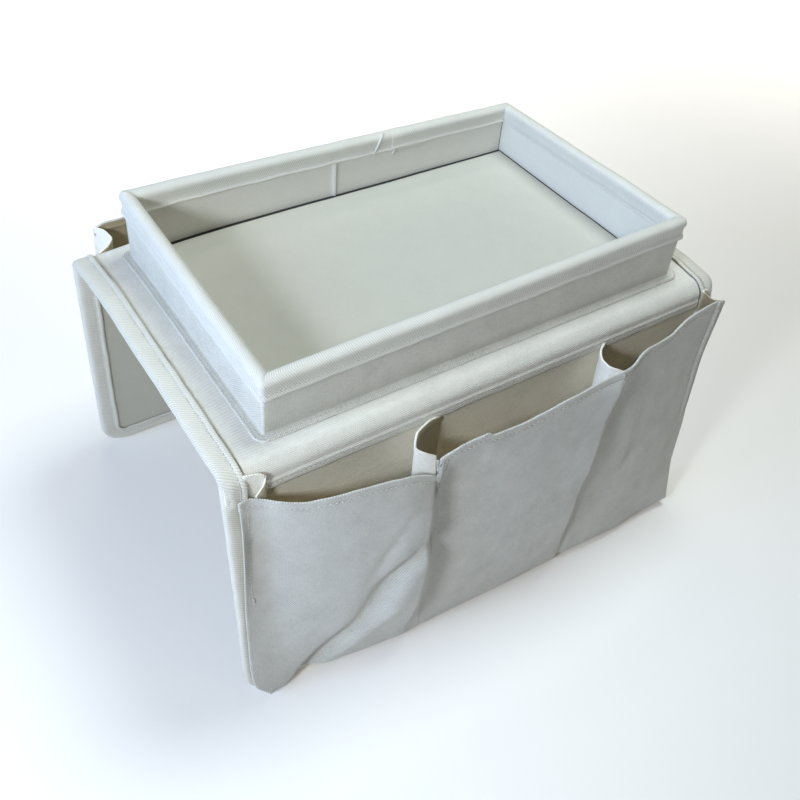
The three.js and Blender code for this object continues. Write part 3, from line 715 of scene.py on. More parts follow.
def edge_tape(side):
    """The tape bound over three edges of half the saddle, with its two rows of stitches."""
    stations = edge_stations(side)
    run = run_along(stations[:, :2])
    nose = np.linspace(0, math.pi, 9)[1:-1]
    lead = np.array([11.6, 11.1, 10.5, 9.9, 9.3, 8.6, 7.6, 6.4, 5.2, 4.0, 2.9])
    w = np.concatenate([lead, 1.8 - 2.35 * np.sin(nose), lead[::-1]])
    middle, reach = PANEL / 2, PANEL / 2 + 0.5
    flat_leg = np.full(len(lead), reach)
    level = middle + np.concatenate([flat_leg, reach * np.cos(nose), -flat_leg])
    outer_leg, inner_leg = (level > middle) & (w > 2), (level < middle) & (w > 2)
    turned = step(w, 8.9, 10.2)
    thick = CLOTH + 0.7 * turned
    sign = np.where(outer_leg, 1.0, np.where(inner_leg, -1.0, 0.0))
    drop = stations[:, 1] - FOLD_Y - bend_length(side)
    over_hem = step(drop, -7, 0) * (1 - step(drop, HEM_DROP + 0.5, HEM_DROP + 6)) * (
        np.abs(stations[:, 2]) > 0.99
    )
    lift = 0.36 * turned[None] + outer_leg[None] * step(w, 1.5, 4)[None] * over_hem[:, None] * 1.55
    ripple = 0.16 * wave(run, 3, 5)[:, None] * step(w, 3, 8)[None]
    seam = -0.22 * hump(w, TAPE_STITCH, 0.8)[None] * (1 + 0.7 * wave(run, 8, 2.9)[:, None])
    edge_wave = 0.45 * wave(run, 14, 13)[:, None] * step(w, 5, 11)[None] * np.where(sign > 0, 1, 0.6)[None]
    nose_wave = 0.22 * wave(run, 21, 9)[:, None] * (1 - step(w, 0, 4))[None]
    ends = step(stations[:, 1], 0, 12)[:, None]
    full_level = level[None] + sign[None] * (lift + (ripple + seam) * ends)
    full_level = full_level - TONGUE_DROP * sign[None] * (stations[:, 1] < 0)[:, None]
    full_w = w[None] + (edge_wave + nose_wave) * ends
    p = tape_place(side, stations, full_w, full_level)
    across = run_along(np.stack([w, level], 1))
    obj = cloth(
        f"{side}_edge_tape", p, grid_flat(run, across), TAPE, np.broadcast_to(thick, p.shape[:2])
    )
    fold_blend(obj)
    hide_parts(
        "top_tape_left", "top_tape_right", f"{side}_fold_tape_left", f"{side}_fold_tape_right",
        f"{side}_flap_tape",
    )
    for leg, base, out in (("outer", middle + reach + 0.42, 1), ("inner", middle - reach - 0.42, -1)):
        w_row = TAPE_STITCH + 0.2 * wave(run, 14, 13)
        raised = base + (1.55 * over_hem if out > 0 else 0)
        path = tape_place(side, stations, w_row[:, None], np.reshape(raised + 0 * run, (-1, 1)))[:, 0]
        way = (
            tape_place(side, stations, w_row[:, None], np.reshape(raised + 0 * run + out, (-1, 1)))[:, 0]
            - path
        )
        stitches(f"{side}_tape_thread_{leg}", path, way, side=side, pitch=2.8, radius=0.24)


for one_side in SIDES:
    upper_cover(one_side)
    flap_sheets(one_side)
    saddle_lining(one_side)
    edge_tape(one_side)
top_stiffener()


# Tray
RIM_LAP = 48.0


def tray_ring(inset, seam_x=RIM_LAP, spacing=3.0):
    """Places round the tray's walls, from a seam in the rear wall and back to it; inset from outside."""
    hx, hy = TRAY_LENGTH / 2 - inset, TRAY_WIDTH / 2 - inset
    r = max(1.7 - inset, 0.7)
    share = (seam_x - TRAY_SHIFT + TRAY_LENGTH / 2) / TRAY_LENGTH
    long_count, short_count = int(TRAY_LENGTH / spacing), int(TRAY_WIDTH / spacing)
    corner_turn = np.linspace(0, math.pi / 2, 7)

    def side_points(a, b, n):
        t = np.linspace(0, 1, n)[1:-1, None]
        return np.array(a) * (1 - t) + np.array(b) * t

    def corner(cx, cy, start):
        a = start + corner_turn
        return np.stack([cx + r * np.cos(a), cy + r * np.sin(a)], 1)

    seam = np.array([-hx + r + share * 2 * (hx - r), hy])
    close = np.array([0.5, 1.0, 1.6])[:, None] * [1.0, 0.0]
    pieces = [
        seam[None],
        seam - close,
        side_points(seam - close[-1], (-hx + r, hy), int(long_count * share)),
        corner(-hx + r, hy - r, math.pi / 2),
        side_points((-hx, hy - r), (-hx, -hy + r), short_count),
        corner(-hx + r, -hy + r, math.pi),
        side_points((-hx + r, -hy), (hx - r, -hy), long_count),
        corner(hx - r, -hy + r, 1.5 * math.pi),
        side_points((hx, -hy + r), (hx, hy - r), short_count),
        corner(hx - r, hy - r, 0),
        side_points((hx - r, hy), seam + close[-1], int(long_count * (1 - share))),
        seam + close[::-1],
        seam[None],
    ]
    return np.concatenate(pieces) + [TRAY_SHIFT, 0]


def tray_sheet(name, insets, heights, material, thick, seam_x=RIM_LAP, shift=None):
    """A band of cloth round the tray: insets and heights give its section from one edge to the other."""
    rings = np.stack([tray_ring(w, seam_x) for w in insets], 1)
    run = run_along(rings[:, 0])
    heights = np.broadcast_to(np.asarray(heights, float), rings.shape[:2])
    p = np.concatenate([rings, heights[..., None]], -1)
    if shift is not None:
        p = p + shift(run, p)
    across = run_along(np.stack([insets, heights[0]], 1))
    return cloth(name, p, grid_flat(run, across), material, thick), run, across, rings


def wall_bow(p):
    """Soft walls: the cloth's small waves, the same for every layer of the wall."""
    x, y, z = p[..., 0], p[..., 1], p[..., 2]
    rise = step(z, 6, 40)
    bow_y = 0.7 * wave(x + 210, y * 0.02 + 40, 61) * rise
    bow_x = 0.7 * wave(y + 330, x * 0.02 + 80, 47) * rise
    at_end = np.abs(x - TRAY_SHIFT) > TRAY_LENGTH / 2 - 9
    at_side = np.abs(y) > TRAY_WIDTH / 2 - 9
    return np.stack([bow_x * at_end, bow_y * at_side, 0 * z], -1)


def tray_outer_cloth():
    """The walls' outer cloth with its sewn foot."""
    z_wall = np.linspace(RIM_TOP - 5, 7.5, 15)
    insets = np.concatenate(
        [np.full(len(z_wall), 0.45), [0.44, 0.36, 0.12, -0.35, -1.2, -2.4, -3.6, -4.6, -5.2]]
    )
    heights = np.concatenate([z_wall, [6.4, 5.5, 4.95, 4.72, 4.67, 4.66, 4.66, 4.66, 4.66]])

    def puff(run, p):
        lift = 0.25 * np.maximum(0, wave(run, 77, 6))[:, None] * step(insets, -2.6, -5.2)[None]
        return wall_bow(p) + points_of(0 * p[..., 0], 0 * p[..., 0], lift)

    outer, run, across, rings = tray_sheet(
        "tray_wall_outer", insets, heights, COVER, CLOTH, shift=puff
    )
    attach(outer, "saddle")
    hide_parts("tray_wall_cover")
    for k, ring_inset in enumerate((-2.2, -4.4)):
        path = np.concatenate([tray_ring(ring_inset), np.full((len(rings), 1), 5.1)], 1)
        up = np.tile([0.0, 0.0, 1.0], (len(path), 1))
        stitches(f"tray_foot_thread_{k + 1}", path, up, body="saddle", pitch=3.1, radius=0.26)


def tray_lining():
    """The walls' lining, with the raised seam on the rear wall."""
    z_wall = np.linspace(RIM_TOP - 5, 5.6, 14)
    insets = np.concatenate(
        [np.full(len(z_wall), WALL - 0.45), [WALL - 0.4, WALL - 0.1, WALL + 0.6, WALL + 2, WALL + 5]]
    )
    heights = np.concatenate([z_wall, [5.1, 4.75, 4.56, 4.5, 4.45]])

    def lining_shift(run, p):
        edge = np.minimum(run, run[-1] - run)[:, None]
        z = p[..., 2]
        ridge = 1.0 * (1 - step(edge, 0.5, 1.5)) * step(z, 5.2, 6.5) * (1 - step(z, 33.5, 36))
        return wall_bow(p) - points_of(0 * z, ridge, 0 * z)

    # the lining's material paints shade at its foot and down its corners
    inner, run, across, _ = tray_sheet(
        "tray_wall_inner", insets, heights, LINING, CLOTH * 0.9, LINING_SEAM, lining_shift
    )
    seam_z = np.linspace(7.5, 33.0, 40)
    path = points_of(LINING_SEAM + 0 * seam_z, TRAY_WIDTH / 2 - WALL - 1.2 + 0 * seam_z, seam_z)
    path = path + wall_bow(path)
    inward = np.tile([0.0, -1.0, 0.0], (len(path), 1))
    seam_thread = stitches(
        "tray_lining_seam_thread", path, inward, body="saddle", pitch=1.6, share=0.97, radius=0.42
    )
    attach(inner, "saddle")
    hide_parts("tray_wall_lining")


def tray_boards():
    """The boards in the walls, one a wall."""
    middle = WALL / 2
    hx, hy = TRAY_LENGTH / 2 - middle, TRAY_WIDTH / 2 - middle
    z = np.linspace(4.7, 42.6, 10)
    walls = {
        "front": ((-hx + 2.5, -hy), (hx - 2.5, -hy)),
        "rear": ((-hx + 2.5, hy), (hx - 2.5, hy)),
        "left": ((-hx, -hy + 2.5), (-hx, hy - 2.5)),
        "right": ((hx, -hy + 2.5), (hx, hy - 2.5)),
    }
    for wall, (a, b) in walls.items():
        t = np.linspace(0, 1, 60)[:, None]
        line = np.array(a) * (1 - t) + np.array(b) * t + [TRAY_SHIFT, 0]
        p = np.concatenate(
            [np.repeat(line[:, None], len(z), 1), np.broadcast_to(z[None, :, None], (60, len(z), 1))], -1
        )
        obj = cloth(
            f"tray_stiffener_{wall}", p + wall_bow(p), grid_flat(run_along(line), z), BOARD, 3.2
        )
        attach(obj, "saddle")
        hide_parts(f"tray_board_{wall}")


def tray_rim():
    """The tape folded over the walls, its ends lapped at the seam."""
    middle = WALL / 2
    arc = np.linspace(0, math.pi, 13)[1:-1]
    leg = np.array([13.2, 12.6, 12.0, 11.3, 10.4, 9.2, 8.0, 6.8, 5.6, 4.4])
    away = np.array([1.4, 1.35, 1.1, 0.75, 0.5, 0.42, 0.45, 0.6, 0.9, 1.4])
    insets = np.concatenate([-away, middle - 4.0 * np.cos(arc), WALL + 0.2 + away[::-1][:-1] * 0.75])
    heights = np.concatenate([RIM_TOP - leg, RIM_TOP - 3.6 + 3.1 * np.sin(arc), RIM_TOP - leg[::-1][:-1]])
    low = step(RIM_TOP - heights, 10.8, 12)
    outside = insets < middle

    def rim_shift(run, p):
        wavy = 0.55 * wave(run, 51, 15) + 0.22 * wave(run, 57, 5)
        dz = wavy[:, None] * step(RIM_TOP - heights, 6, 12)[None]
        lumps = 0.18 * wave(run, 61, 6.5)
        dz = dz + lumps[:, None] * (1 - step(RIM_TOP - heights, 0, 5))[None]
        lapped = (run > run[-1] - 9)[:, None]
        sideways = np.where(outside, -1.0, 1.0) * (1 - hump(insets, middle, 2.4))
        soft = 0.14 * wave(run, 66, 4)[:, None] * step(RIM_TOP - heights, 3, 9)[None]
        puff = (0.30 * low[None] + soft + 0.45 * lapped) * sideways[None]
        inward = unit(np.stack([TRAY_SHIFT - p[..., 0], -p[..., 1]], -1))
        flat_way = np.where(np.abs(p[..., 1:2]) > TRAY_WIDTH / 2 - 10, [0.0, 1.0], [1.0, 0.0]) * np.sign(
            inward
        )
        dz = dz + 0.4 * lapped * hump(insets, middle, 3)[None]
        return wall_bow(p) + np.concatenate([flat_way * puff[..., None], dz[..., None]], -1)

    rim, run, across, _ = tray_sheet(
        "tray_rim", insets, heights, RIM_TAPE, 0.85 + 0.6 * low, shift=rim_shift
    )
    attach(rim, "saddle")
    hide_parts("tray_rim_tape")
    for label, inset in (("outer", -1.0), ("inner", WALL + 1.05)):
        ring = tray_ring(inset)
        z = RIM_TOP - 10.6 + 0.4 * wave(run, 51, 15)
        path = np.concatenate([ring, z[:, None]], 1)
        path = path + wall_bow(path)
        way = unit(tray_ring(0.0) - tray_ring(1.0)) * (1 if inset < 0 else -1)
        way = np.concatenate([way, np.zeros((len(way), 1))], 1)
        stitches(f"tray_rim_thread_{label}", path, way, body="saddle", pitch=2.7, radius=0.27)


tray_outer_cloth()
tray_lining()
tray_boards()
tray_rim()


def loose_ends():
    """The thread ends and frayed tape edge on the rim near where the tape's ends lap."""
    loose_end(
        "rim_loose_thread_1",
        [(38.5, 86.6, 46.6), (36.6, 84.6, 44.4), (33.2, 84.0, 38.5), (29.8, 83.6, 33.0)], 0.8, "saddle",
    )
    loose_end(
        "rim_loose_thread_2", [(47.6, 84.6, 34.2), (46.6, 83.6, 32.0), (45.2, 83.9, 29.0)], 0.6, "saddle"
    )
    for k in range(14):
        x = 49.0 + 1.9 * k + 0.8 * float(wave(k * 1.0, 3.0, 1.3))
        reach = 1.9 + 1.1 * float(wave(k * 1.0, 9.0, 1.7))
        lean = 1.6 * float(wave(k * 1.0, 17.0, 1.9)) - 0.8
        points = [(x, 84.7, 34.0), (x + 0.4 * lean, 84.0, 33.2), (x + lean, 84.2, 33.0 - reach)]
        loose_end(f"rim_fray_{k + 1}", points, 0.22, "saddle")


loose_ends()


def tray_floor():
    """Loose floor: cloth drawn over a board, round its edges and turned under it."""
    hx, hy = TRAY_LENGTH / 2 - WALL - 1.5, TRAY_WIDTH / 2 - WALL - 1.5
    low, high = 4.6, FLOOR_TOP
    half = (high - low) / 2
    across, along = 100, 62
    bend = np.linspace(math.pi / 2, -math.pi / 2, 9)
    section = [(4.0, high), (2.8, high)] + [
        (half - half * math.cos(b), low + half + half * math.sin(b)) for b in bend
    ]
    section += [(3.0, low), (7.0, low), (12.0, low), (16.0, low)]

    def ring(w):
        r = max(1.6 - w, 0.0)
        arcs = np.linspace(0, math.pi / 2, 6)
        cx, cy = hx - w - r, hy - w - r
        parts = []
        for k, (sx, sy) in enumerate(((1, -1), (1, 1), (-1, 1), (-1, -1))):
            a = arcs + (k - 1) * math.pi / 2
            parts.append(np.stack([sx * cx + r * np.cos(a), sy * cy + r * np.sin(a)], 1))
            n = along if k % 2 == 0 else across
            end = ((1, 1), (-1, 1), (-1, -1), (1, -1))[k]
            t = np.linspace(0, 1, n)[1:-1, None]
            parts.append(parts[-1][-1] * (1 - t) + (np.array([end[0] * cx, end[1] * cy]) + tail(k, r)) * t)
        return np.concatenate(parts)

    def tail(k, r):
        return np.array([(r, 0), (0, r), (-r, 0), (0, -r)][k])

    rings = np.stack([points_of(*ring(w).T, z) for w, z in section])
    count = rings.shape[1]
    x, y = np.linspace(-hx + 4, hx - 4, across), np.linspace(-hy + 4, hy - 4, along)
    middle = np.concatenate([grid_flat(x, y), np.full((across, along, 1), high)], -1)
    p = np.concatenate([rings.reshape(-1, 3), middle.reshape(-1, 3)])
    flat = p[:, :2] + np.where(p[:, 2:] < low + half, [400.0, 0.0], [0.0, 0.0])
    crown = step(hx - np.abs(p[:, 0]), 0, 30) * step(hy - np.abs(p[:, 1]), 0, 30)
    waves = 0.25 * wave(p[:, 0] + 900, p[:, 1] + 900, 70) + 0.12 * wave(p[:, 0] + 100, p[:, 1] + 800, 17)
    raised = waves + 0.35
    p[:, 2] += crown * raised * (p[:, 2] > low + half)
    p[:, 0] += TRAY_SHIFT + FLOOR_SLIP
    p[:, 1] -= 0.8 + 0.004 * (TRAY_SHIFT - p[:, 0])
    i, j = np.arange(len(section) - 1)[:, None], np.arange(count)[None]
    j2 = (j + 1) % count
    faces = np.stack(
        np.broadcast_arrays(i * count + j, i * count + j2, (i + 1) * count + j2, (i + 1) * count + j), -1
    )
    faces = faces.reshape(-1, 4).tolist() + quads(across, along, start=len(section) * count).tolist()
    obj = finish_mesh("tray_floor_cloth", p, faces, flat, INSERT)
    bm = bmesh.new()
    bm.from_mesh(obj.data)
    bmesh.ops.remove_doubles(bm, verts=bm.verts, dist=1e-6)
    bmesh.ops.recalc_face_normals(bm, faces=bm.faces)
    top = max(bm.faces, key=lambda f: f.calc_center_median().z)
    if top.normal.z < 0:
        bmesh.ops.reverse_faces(bm, faces=bm.faces)
    bmesh.ops.solidify(bm, geom=bm.faces, thickness=0.5 * MM)
    bm.to_mesh(obj.data)
    bm.free()
    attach(obj, "loose_floor")
    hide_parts("tray_floor_cover")
    x, y = (
        np.linspace(-hx + 1.6, hx - 1.6, 40) + TRAY_SHIFT + FLOOR_SLIP, np.linspace(-hy + 1.6, hy - 1.6, 30)
        - 0.8
    )
    board = cloth(
        "tray_floor_stiffener", points_of(x[:, None], y[None], low + half), grid_flat(x, y), BOARD,
        1.5,
    )
    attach(board, "loose_floor")
    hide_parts("tray_floor_board")


tray_floor()


# Pocket strips
BOTTOM_DROP, SEAM_DROP = 184.0, 175.0


def ridge(x, rise, fall):
    """A fold's section: a long soft side up to x = 0, then a steep side that ends in a crease at fall."""
    down = 1 - np.clip((x + 1) / (fall + 1), 0, 1)
    return np.where(x < -1, np.exp((np.minimum(x, 0) + 1) / rise), down ** 1.15)


def between_rows(x, drop, xs, rows, table):
    """Depth between sections; each row of the table holds the depths along xs at one drop."""
    across = np.stack([through(x, xs, row) for row in table])
    at = np.clip(np.interp(drop, rows, np.arange(len(rows))), 0, len(rows) - 1.001)
    i = at.astype(int)
    f = at - i
    x_index = np.broadcast_to(np.arange(across.shape[1])[:, None], drop.shape)
    return across[i, x_index] * (1 - f) + across[i + 1, x_index] * f


# Hems as x, drop and distance out; the front one is in two parts, left and right of its first divider
FRONT_HEM_LEFT = [
    (-165, 8.2, 4.8),
    (-160.5, 9.2, 4.0),
    (-157, 10.6, 5.6),
    seen(279.6, 502.4, 10),
    seen(314.3, 502.4, 16),
    seen(342.9, 495.3, 19.5),
    seen(383.7, 484, 22),
    seen(414.3, 476.9, 23),
    seen(437.8, 475.9, 23),
]
FRONT_HEM_RIGHT = [
    seen(441.6, 459.5, 23, aside=-0.6),
    seen(461.2, 447.3, 23.3, further=-0.1),
    seen(476.3, 439.9, 23.5),
    seen(489.3, 433.4, 24, lower=0.2),
    seen(493.7, 436.4, 24, lower=-0.6),
    seen(526, 422.6, 24),
    seen(571.7, 398.7, 24),
    seen(605, 381, 23),
    (80, 14.4, 23),
    seen(632.3, 368.6, 22, lower=-1.0),
    seen(646, 350.2, 18, lower=1.0),
    seen(669, 337.6, 14),
    seen(693.2, 315.8, 10),
    seen(712.7, 304.3, 8),
    seen(724.8, 300.8, 7),
]
REAR_HEM = [
    (-157, -6, 19),
    (-150, -6.5, 19.5),
    (-120, -4, 21.5),
    (-80, -1.5, 23),
    (-40, -3, 23),
    (-8.6, -6, 23),
    (30, -2.5, 23),
    (80, 0, 23.5),
    (120, -4.5, 22),
    seen(118.1, 215.1, 21, side="rear"),
    (148, -8.6, 20.5),
    seen(92.9, 222.8, 20, side="rear"),
]
# The soft valley from the first divider down to the left corner
VALLEY = [
    (-50, 60, 18),
    seen(412, 543, 16, aside=0.1, lower=0.4),
    seen(383.7, 569.8, 13, aside=0.1, lower=0.4),
    seen(355, 613.6, 9, aside=0.1, lower=0.2),
    seen(304, 671.5, drop=184, aside=0.2),
]


def hem_line(x, points):
    """Drop and distance out along a hem."""
    along, drop, out = np.array(points, float).T
    return through(x, along, drop), through(x, along, out)


class FrontStrip:
    """The front pockets' strip: x along the flap, drop down it, depth out from it."""

    side = "front"
    left, right = -165.0, FRONT_HEM_RIGHT[-1][0]
    steps = (-58.8,)
    dividers = (-58.8, 80.3)
    sewn_end = (-160.0, -112.0)

    def hem(self, x):
        drop_left, depth_left = hem_line(x, FRONT_HEM_LEFT)
        drop_right, depth_right = hem_line(x, FRONT_HEM_RIGHT)
        before = x < self.steps[0]
        return np.where(before, drop_left, drop_right), np.where(before, depth_left, depth_right)

    def columns(self):
        x = np.concatenate(
            [np.linspace(self.left, -150, 14), np.linspace(-148.5, -62, 50), np.linspace(-61, -59.3, 4)]
        )
        x = np.concatenate(
            [x, np.linspace(-58.2, -56, 4), np.linspace(-54.5, 77, 66), np.linspace(78, 83, 8)]
        )
        return np.concatenate([x, np.linspace(84.5, 175.5, 48), np.linspace(176.5, self.right, 12)])

    def shift(self, x, drop):
        """How far the strip's ends lean in or out below the hem."""
        edge = [seen(244, 602, 2)[0], seen(249.5, 674, 2)[0], seen(273.4, 694, 9.6)[0]]
        middle, low, foot = [x_edge - self.left for x_edge in edge]
        left = through(
            drop, [9, 25, 50, 90, 130, 160, 170, 178, 184],
            [-7, -7, -7.8, middle, -11, low, -10.6, -5.5, foot],
        )
        drops = [9, 55, seen(683, 414, 7.8, lower=0.3)[1], seen(669, 467, 14, lower=0.3)[1], 184]
        right = through(drop, drops, np.array([self.right, 180.5, 178, 172, 172]) - self.right)
        return left * (1 - step(x, -165, -150)) + right * step(x, 90, 186)

    def body(self, x, drop):
        xs = [-165, -160.5, -157, -150, -128, -100, -78, -60, -44, -15, 20, 50, 78, 92, 112, 135, 160, 186]
        rows = [20, 55, 100, 145, 184]
        foot = [seen(*pixel, drop=184)[2] for pixel in ((272.4, 695), (290, 683), (662, 499))]
        table = [
            [4.9, 1.7, 4.2, 9.5, 17, 21.5, 22.5, 19, 17.5, 21, 24, 23, 19.5, 18, 15.5, 13, 10, 7],
            [4.7, 1.5, 2.2, 6.8, 15, 20, 21.5, 18.5, 16.5, 20.5, 23.5, 23, 19, 17.5, 15.5, 13.5, 10.5, 6.5],
            [3.0, 2.2, 2.4, 5.8, 13, 18, 20, 18, 16, 20, 22.5, 22, 18.5, 17, 16.5, 15, 12, 7.8],
            [4.6, 4.5, 4.6, 6.5, 11, 15.5, 17.5, 16.5, 15.5, 18.5, 20.5, 20, 18, 17.8, 18.5, 18, 16.5, 12.5],
            [
                foot[0], 9.0, 8.6, foot[1], 6.5, 10.8, 13, 13.8, 14.3, 15.6, 17, 17.4, 17.6, 18, 18.6, 18.5,
                18.4, foot[2]
            ],
        ]
        return between_rows(x, drop, xs, rows, table)

    def ridge_line(self, k, drop):
        if k == 0:
            upper = [seen(427.0, 533.4, 21)[0], seen(421.3, 561.5, 19, aside=0.2)[0]]
            lower = [
                seen(412.9, 589.6, 17, aside=0.2)[0], seen(406, 622, 14, aside=-0.2)[0],
                seen(404, 631, 14, aside=-0.5)[0]
            ]
            return through(drop, [20, 40, 70, 109, 137, 168, 184], [-59.2, -61, *upper, *lower])
        return through(drop, [15, 30, 60, 98, 164, 184], [80.3, 75, 68.5, 65, 60.5, 58.5])

    def relief(self, x, drop):
        one = x - self.ridge_line(0, drop)
        two = x - self.ridge_line(1, drop)
        low = 1 - 0.85 * step(drop, 135, 180)
        fall_one = through(drop, [40, 75, 109, 133, 158, 175], [8, 10, 12.5, 14.5, 11, 8])
        fall_two = through(drop, [30, 66, 90, 112], [13, 14, 10, 6.5])
        total = 7.7 * ridge(one, 33, fall_one) * step(drop, 8, 34) * low
        total -= 1.6 * np.exp(-np.abs(one - fall_one) / 6) * step(drop, 25, 60) * low
        total -= 1.3 * np.exp(-np.abs(two - fall_two) / 6) * step(drop, 20, 45) * (1 - step(drop, 75, 105))
        total += 7.0 * ridge(two, 24, fall_two) * step(drop, 10, 30) * (1 - 0.62 * step(drop, 80, 118)) * low
        total -= 2.4 * hump(two, 5.0, 3.2) * step(drop, 80, 110) * (1 - 0.4 * step(drop, 160, 184))
        total -= 1.6 * hump(drop, 118 - (x - 107) * 0.62, 8) * hump(x, 108, 22)
        total -= 1.3 * hump(drop, 52 - (x - 60) * 0.25, 6) * hump(x, 58, 14)
        valley_x, valley_drop, _ = np.array(VALLEY).T
        valley = through(drop, valley_drop, valley_x)
        total -= 5.2 * hump(x, valley, 9) * step(drop, 70, 105)
        total += 1.6 * hump(x, valley + 17, 9) * step(drop, 80, 120)
        total -= 1.5 * hump(x, -84 - (drop - 70) * 0.5, 5) * hump(drop, 82, 22)
        total += 1.3 * ridge(x - 108, 16, 12) * step(drop, 15, 45) * (1 - step(drop, 110, 160))
        return total

    def ends(self, x):
        return (1 - step(x, -165, -152)) + step(x, 176, self.right)

    def edge_folds(self, x, drop):
        """The stitched-down folds: the right one curls up past its stitches, the left one lies flatter."""
        right = 0.9 * hump(x, 180.4, 1.3) - 0.5 * hump(x, 177.9, 1.2)
        left = 0.55 * wave(x * 1.3 + 30, drop + 60, 4.6) * hump(x, -160.5, 3.0)
        return right * (1 - step(drop, 80, 112)) + left * (1 - step(drop, 84, 94))


class RearStrip:
    """The rear pockets' strip: only its left end shows in the photograph, the rest follows the front one."""

    side = "rear"
    left, right = -157.0, REAR_HEM[-1][0]
    steps = ()
    dividers = (-8.6,)
    sewn_end = None

    def hem(self, x):
        return hem_line(x, REAR_HEM)

    def columns(self):
        return np.concatenate(
            [np.linspace(self.left, -14, 74), np.linspace(-12, -5, 10), np.linspace(-3, self.right, 80)]
        )

    def shift(self, x, drop):
        return through(drop, [-8, 60, 120, 184], [0, 4, 7, 9]) * (step(x, 90, 155) - (1 - step(x, -155, -90)))

    def body(self, x, drop):
        xs = [-157, -140, -110, -70, -30, -8.6, 12, 50, 95, 130, self.right]
        rows = [0, 60, 120, 184]
        table = [
            [19, 20, 22, 23, 22, 21, 20.5, 23, 23.5, 21.5, 20],
            [14, 17, 21, 22.5, 21, 20.5, 19.5, 22, 22, 18, 15],
            [10, 14, 18.5, 20.5, 19, 18.5, 18, 20.5, 20, 15, 10],
            [7, 10, 14.5, 17, 16.5, 16, 15.5, 17, 16, 11, 7],
        ]
        return between_rows(x, drop, xs, rows, table)

    def ridge_line(self, k, drop):
        return through(drop, [-6, 60, 130, 184], [-8.6, -7, -4, -3])

    def relief(self, x, drop):
        one = x - self.ridge_line(0, drop)
        low = 1 - 0.85 * step(drop, 135, 180)
        total = 4.6 * ridge(one, 22, 11) * step(drop, -4, 25) * low
        total -= 3.0 * hump(x, 118 - drop * 0.42, 11) * step(drop, 40, 95)
        return total + 2.0 * hump(x, -120 + drop * 0.3, 13) * step(drop, 30, 90) * (1 - step(drop, 130, 175))

    def ends(self, x):
        return (1 - step(x, -157, -146)) + step(x, 146, self.right)

    def edge_folds(self, x, drop):
        return 0 * x * drop


def strip_depth(strip, x, drop):
    """How far the strip stands out from the flap; x holds one place a row of drops."""
    hem_drop, hem_depth = strip.hem(x)
    relief = strip.relief(x[:, None], drop)
    body = strip.body(x, drop) + relief
    at_hem = strip.body(x, hem_drop[:, None]) + strip.relief(x[:, None], hem_drop[:, None])
    fade = 1 - step(drop - hem_drop[:, None], 0, 34)
    depth = body + (hem_depth[:, None] - at_hem) * fade + strip.edge_folds(x[:, None], drop)
    small = 0.38 * wave(x[:, None] + 500, drop + 200, 26) + 0.12 * wave(
        x[:, None] * 1.2 + 100, drop + 700, 10
    )
    big = 0.8 * wave(x[:, None] + 40, drop + 500, 48)
    calm = 1 - 0.8 * strip.ends(x)[:, None]
    return depth + (small + big) * calm * step(drop, hem_drop[:, None] + 2, hem_drop[:, None] + 40)


def carry(obj, strip):
    """Carry a piece with the pockets unless the strip's end is sewn down; then only bake the piece's
    placement into its mesh.
    """
    if strip.sewn_end is None:
        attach(obj, f"{strip.side}_pockets")
        return
    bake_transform(obj)


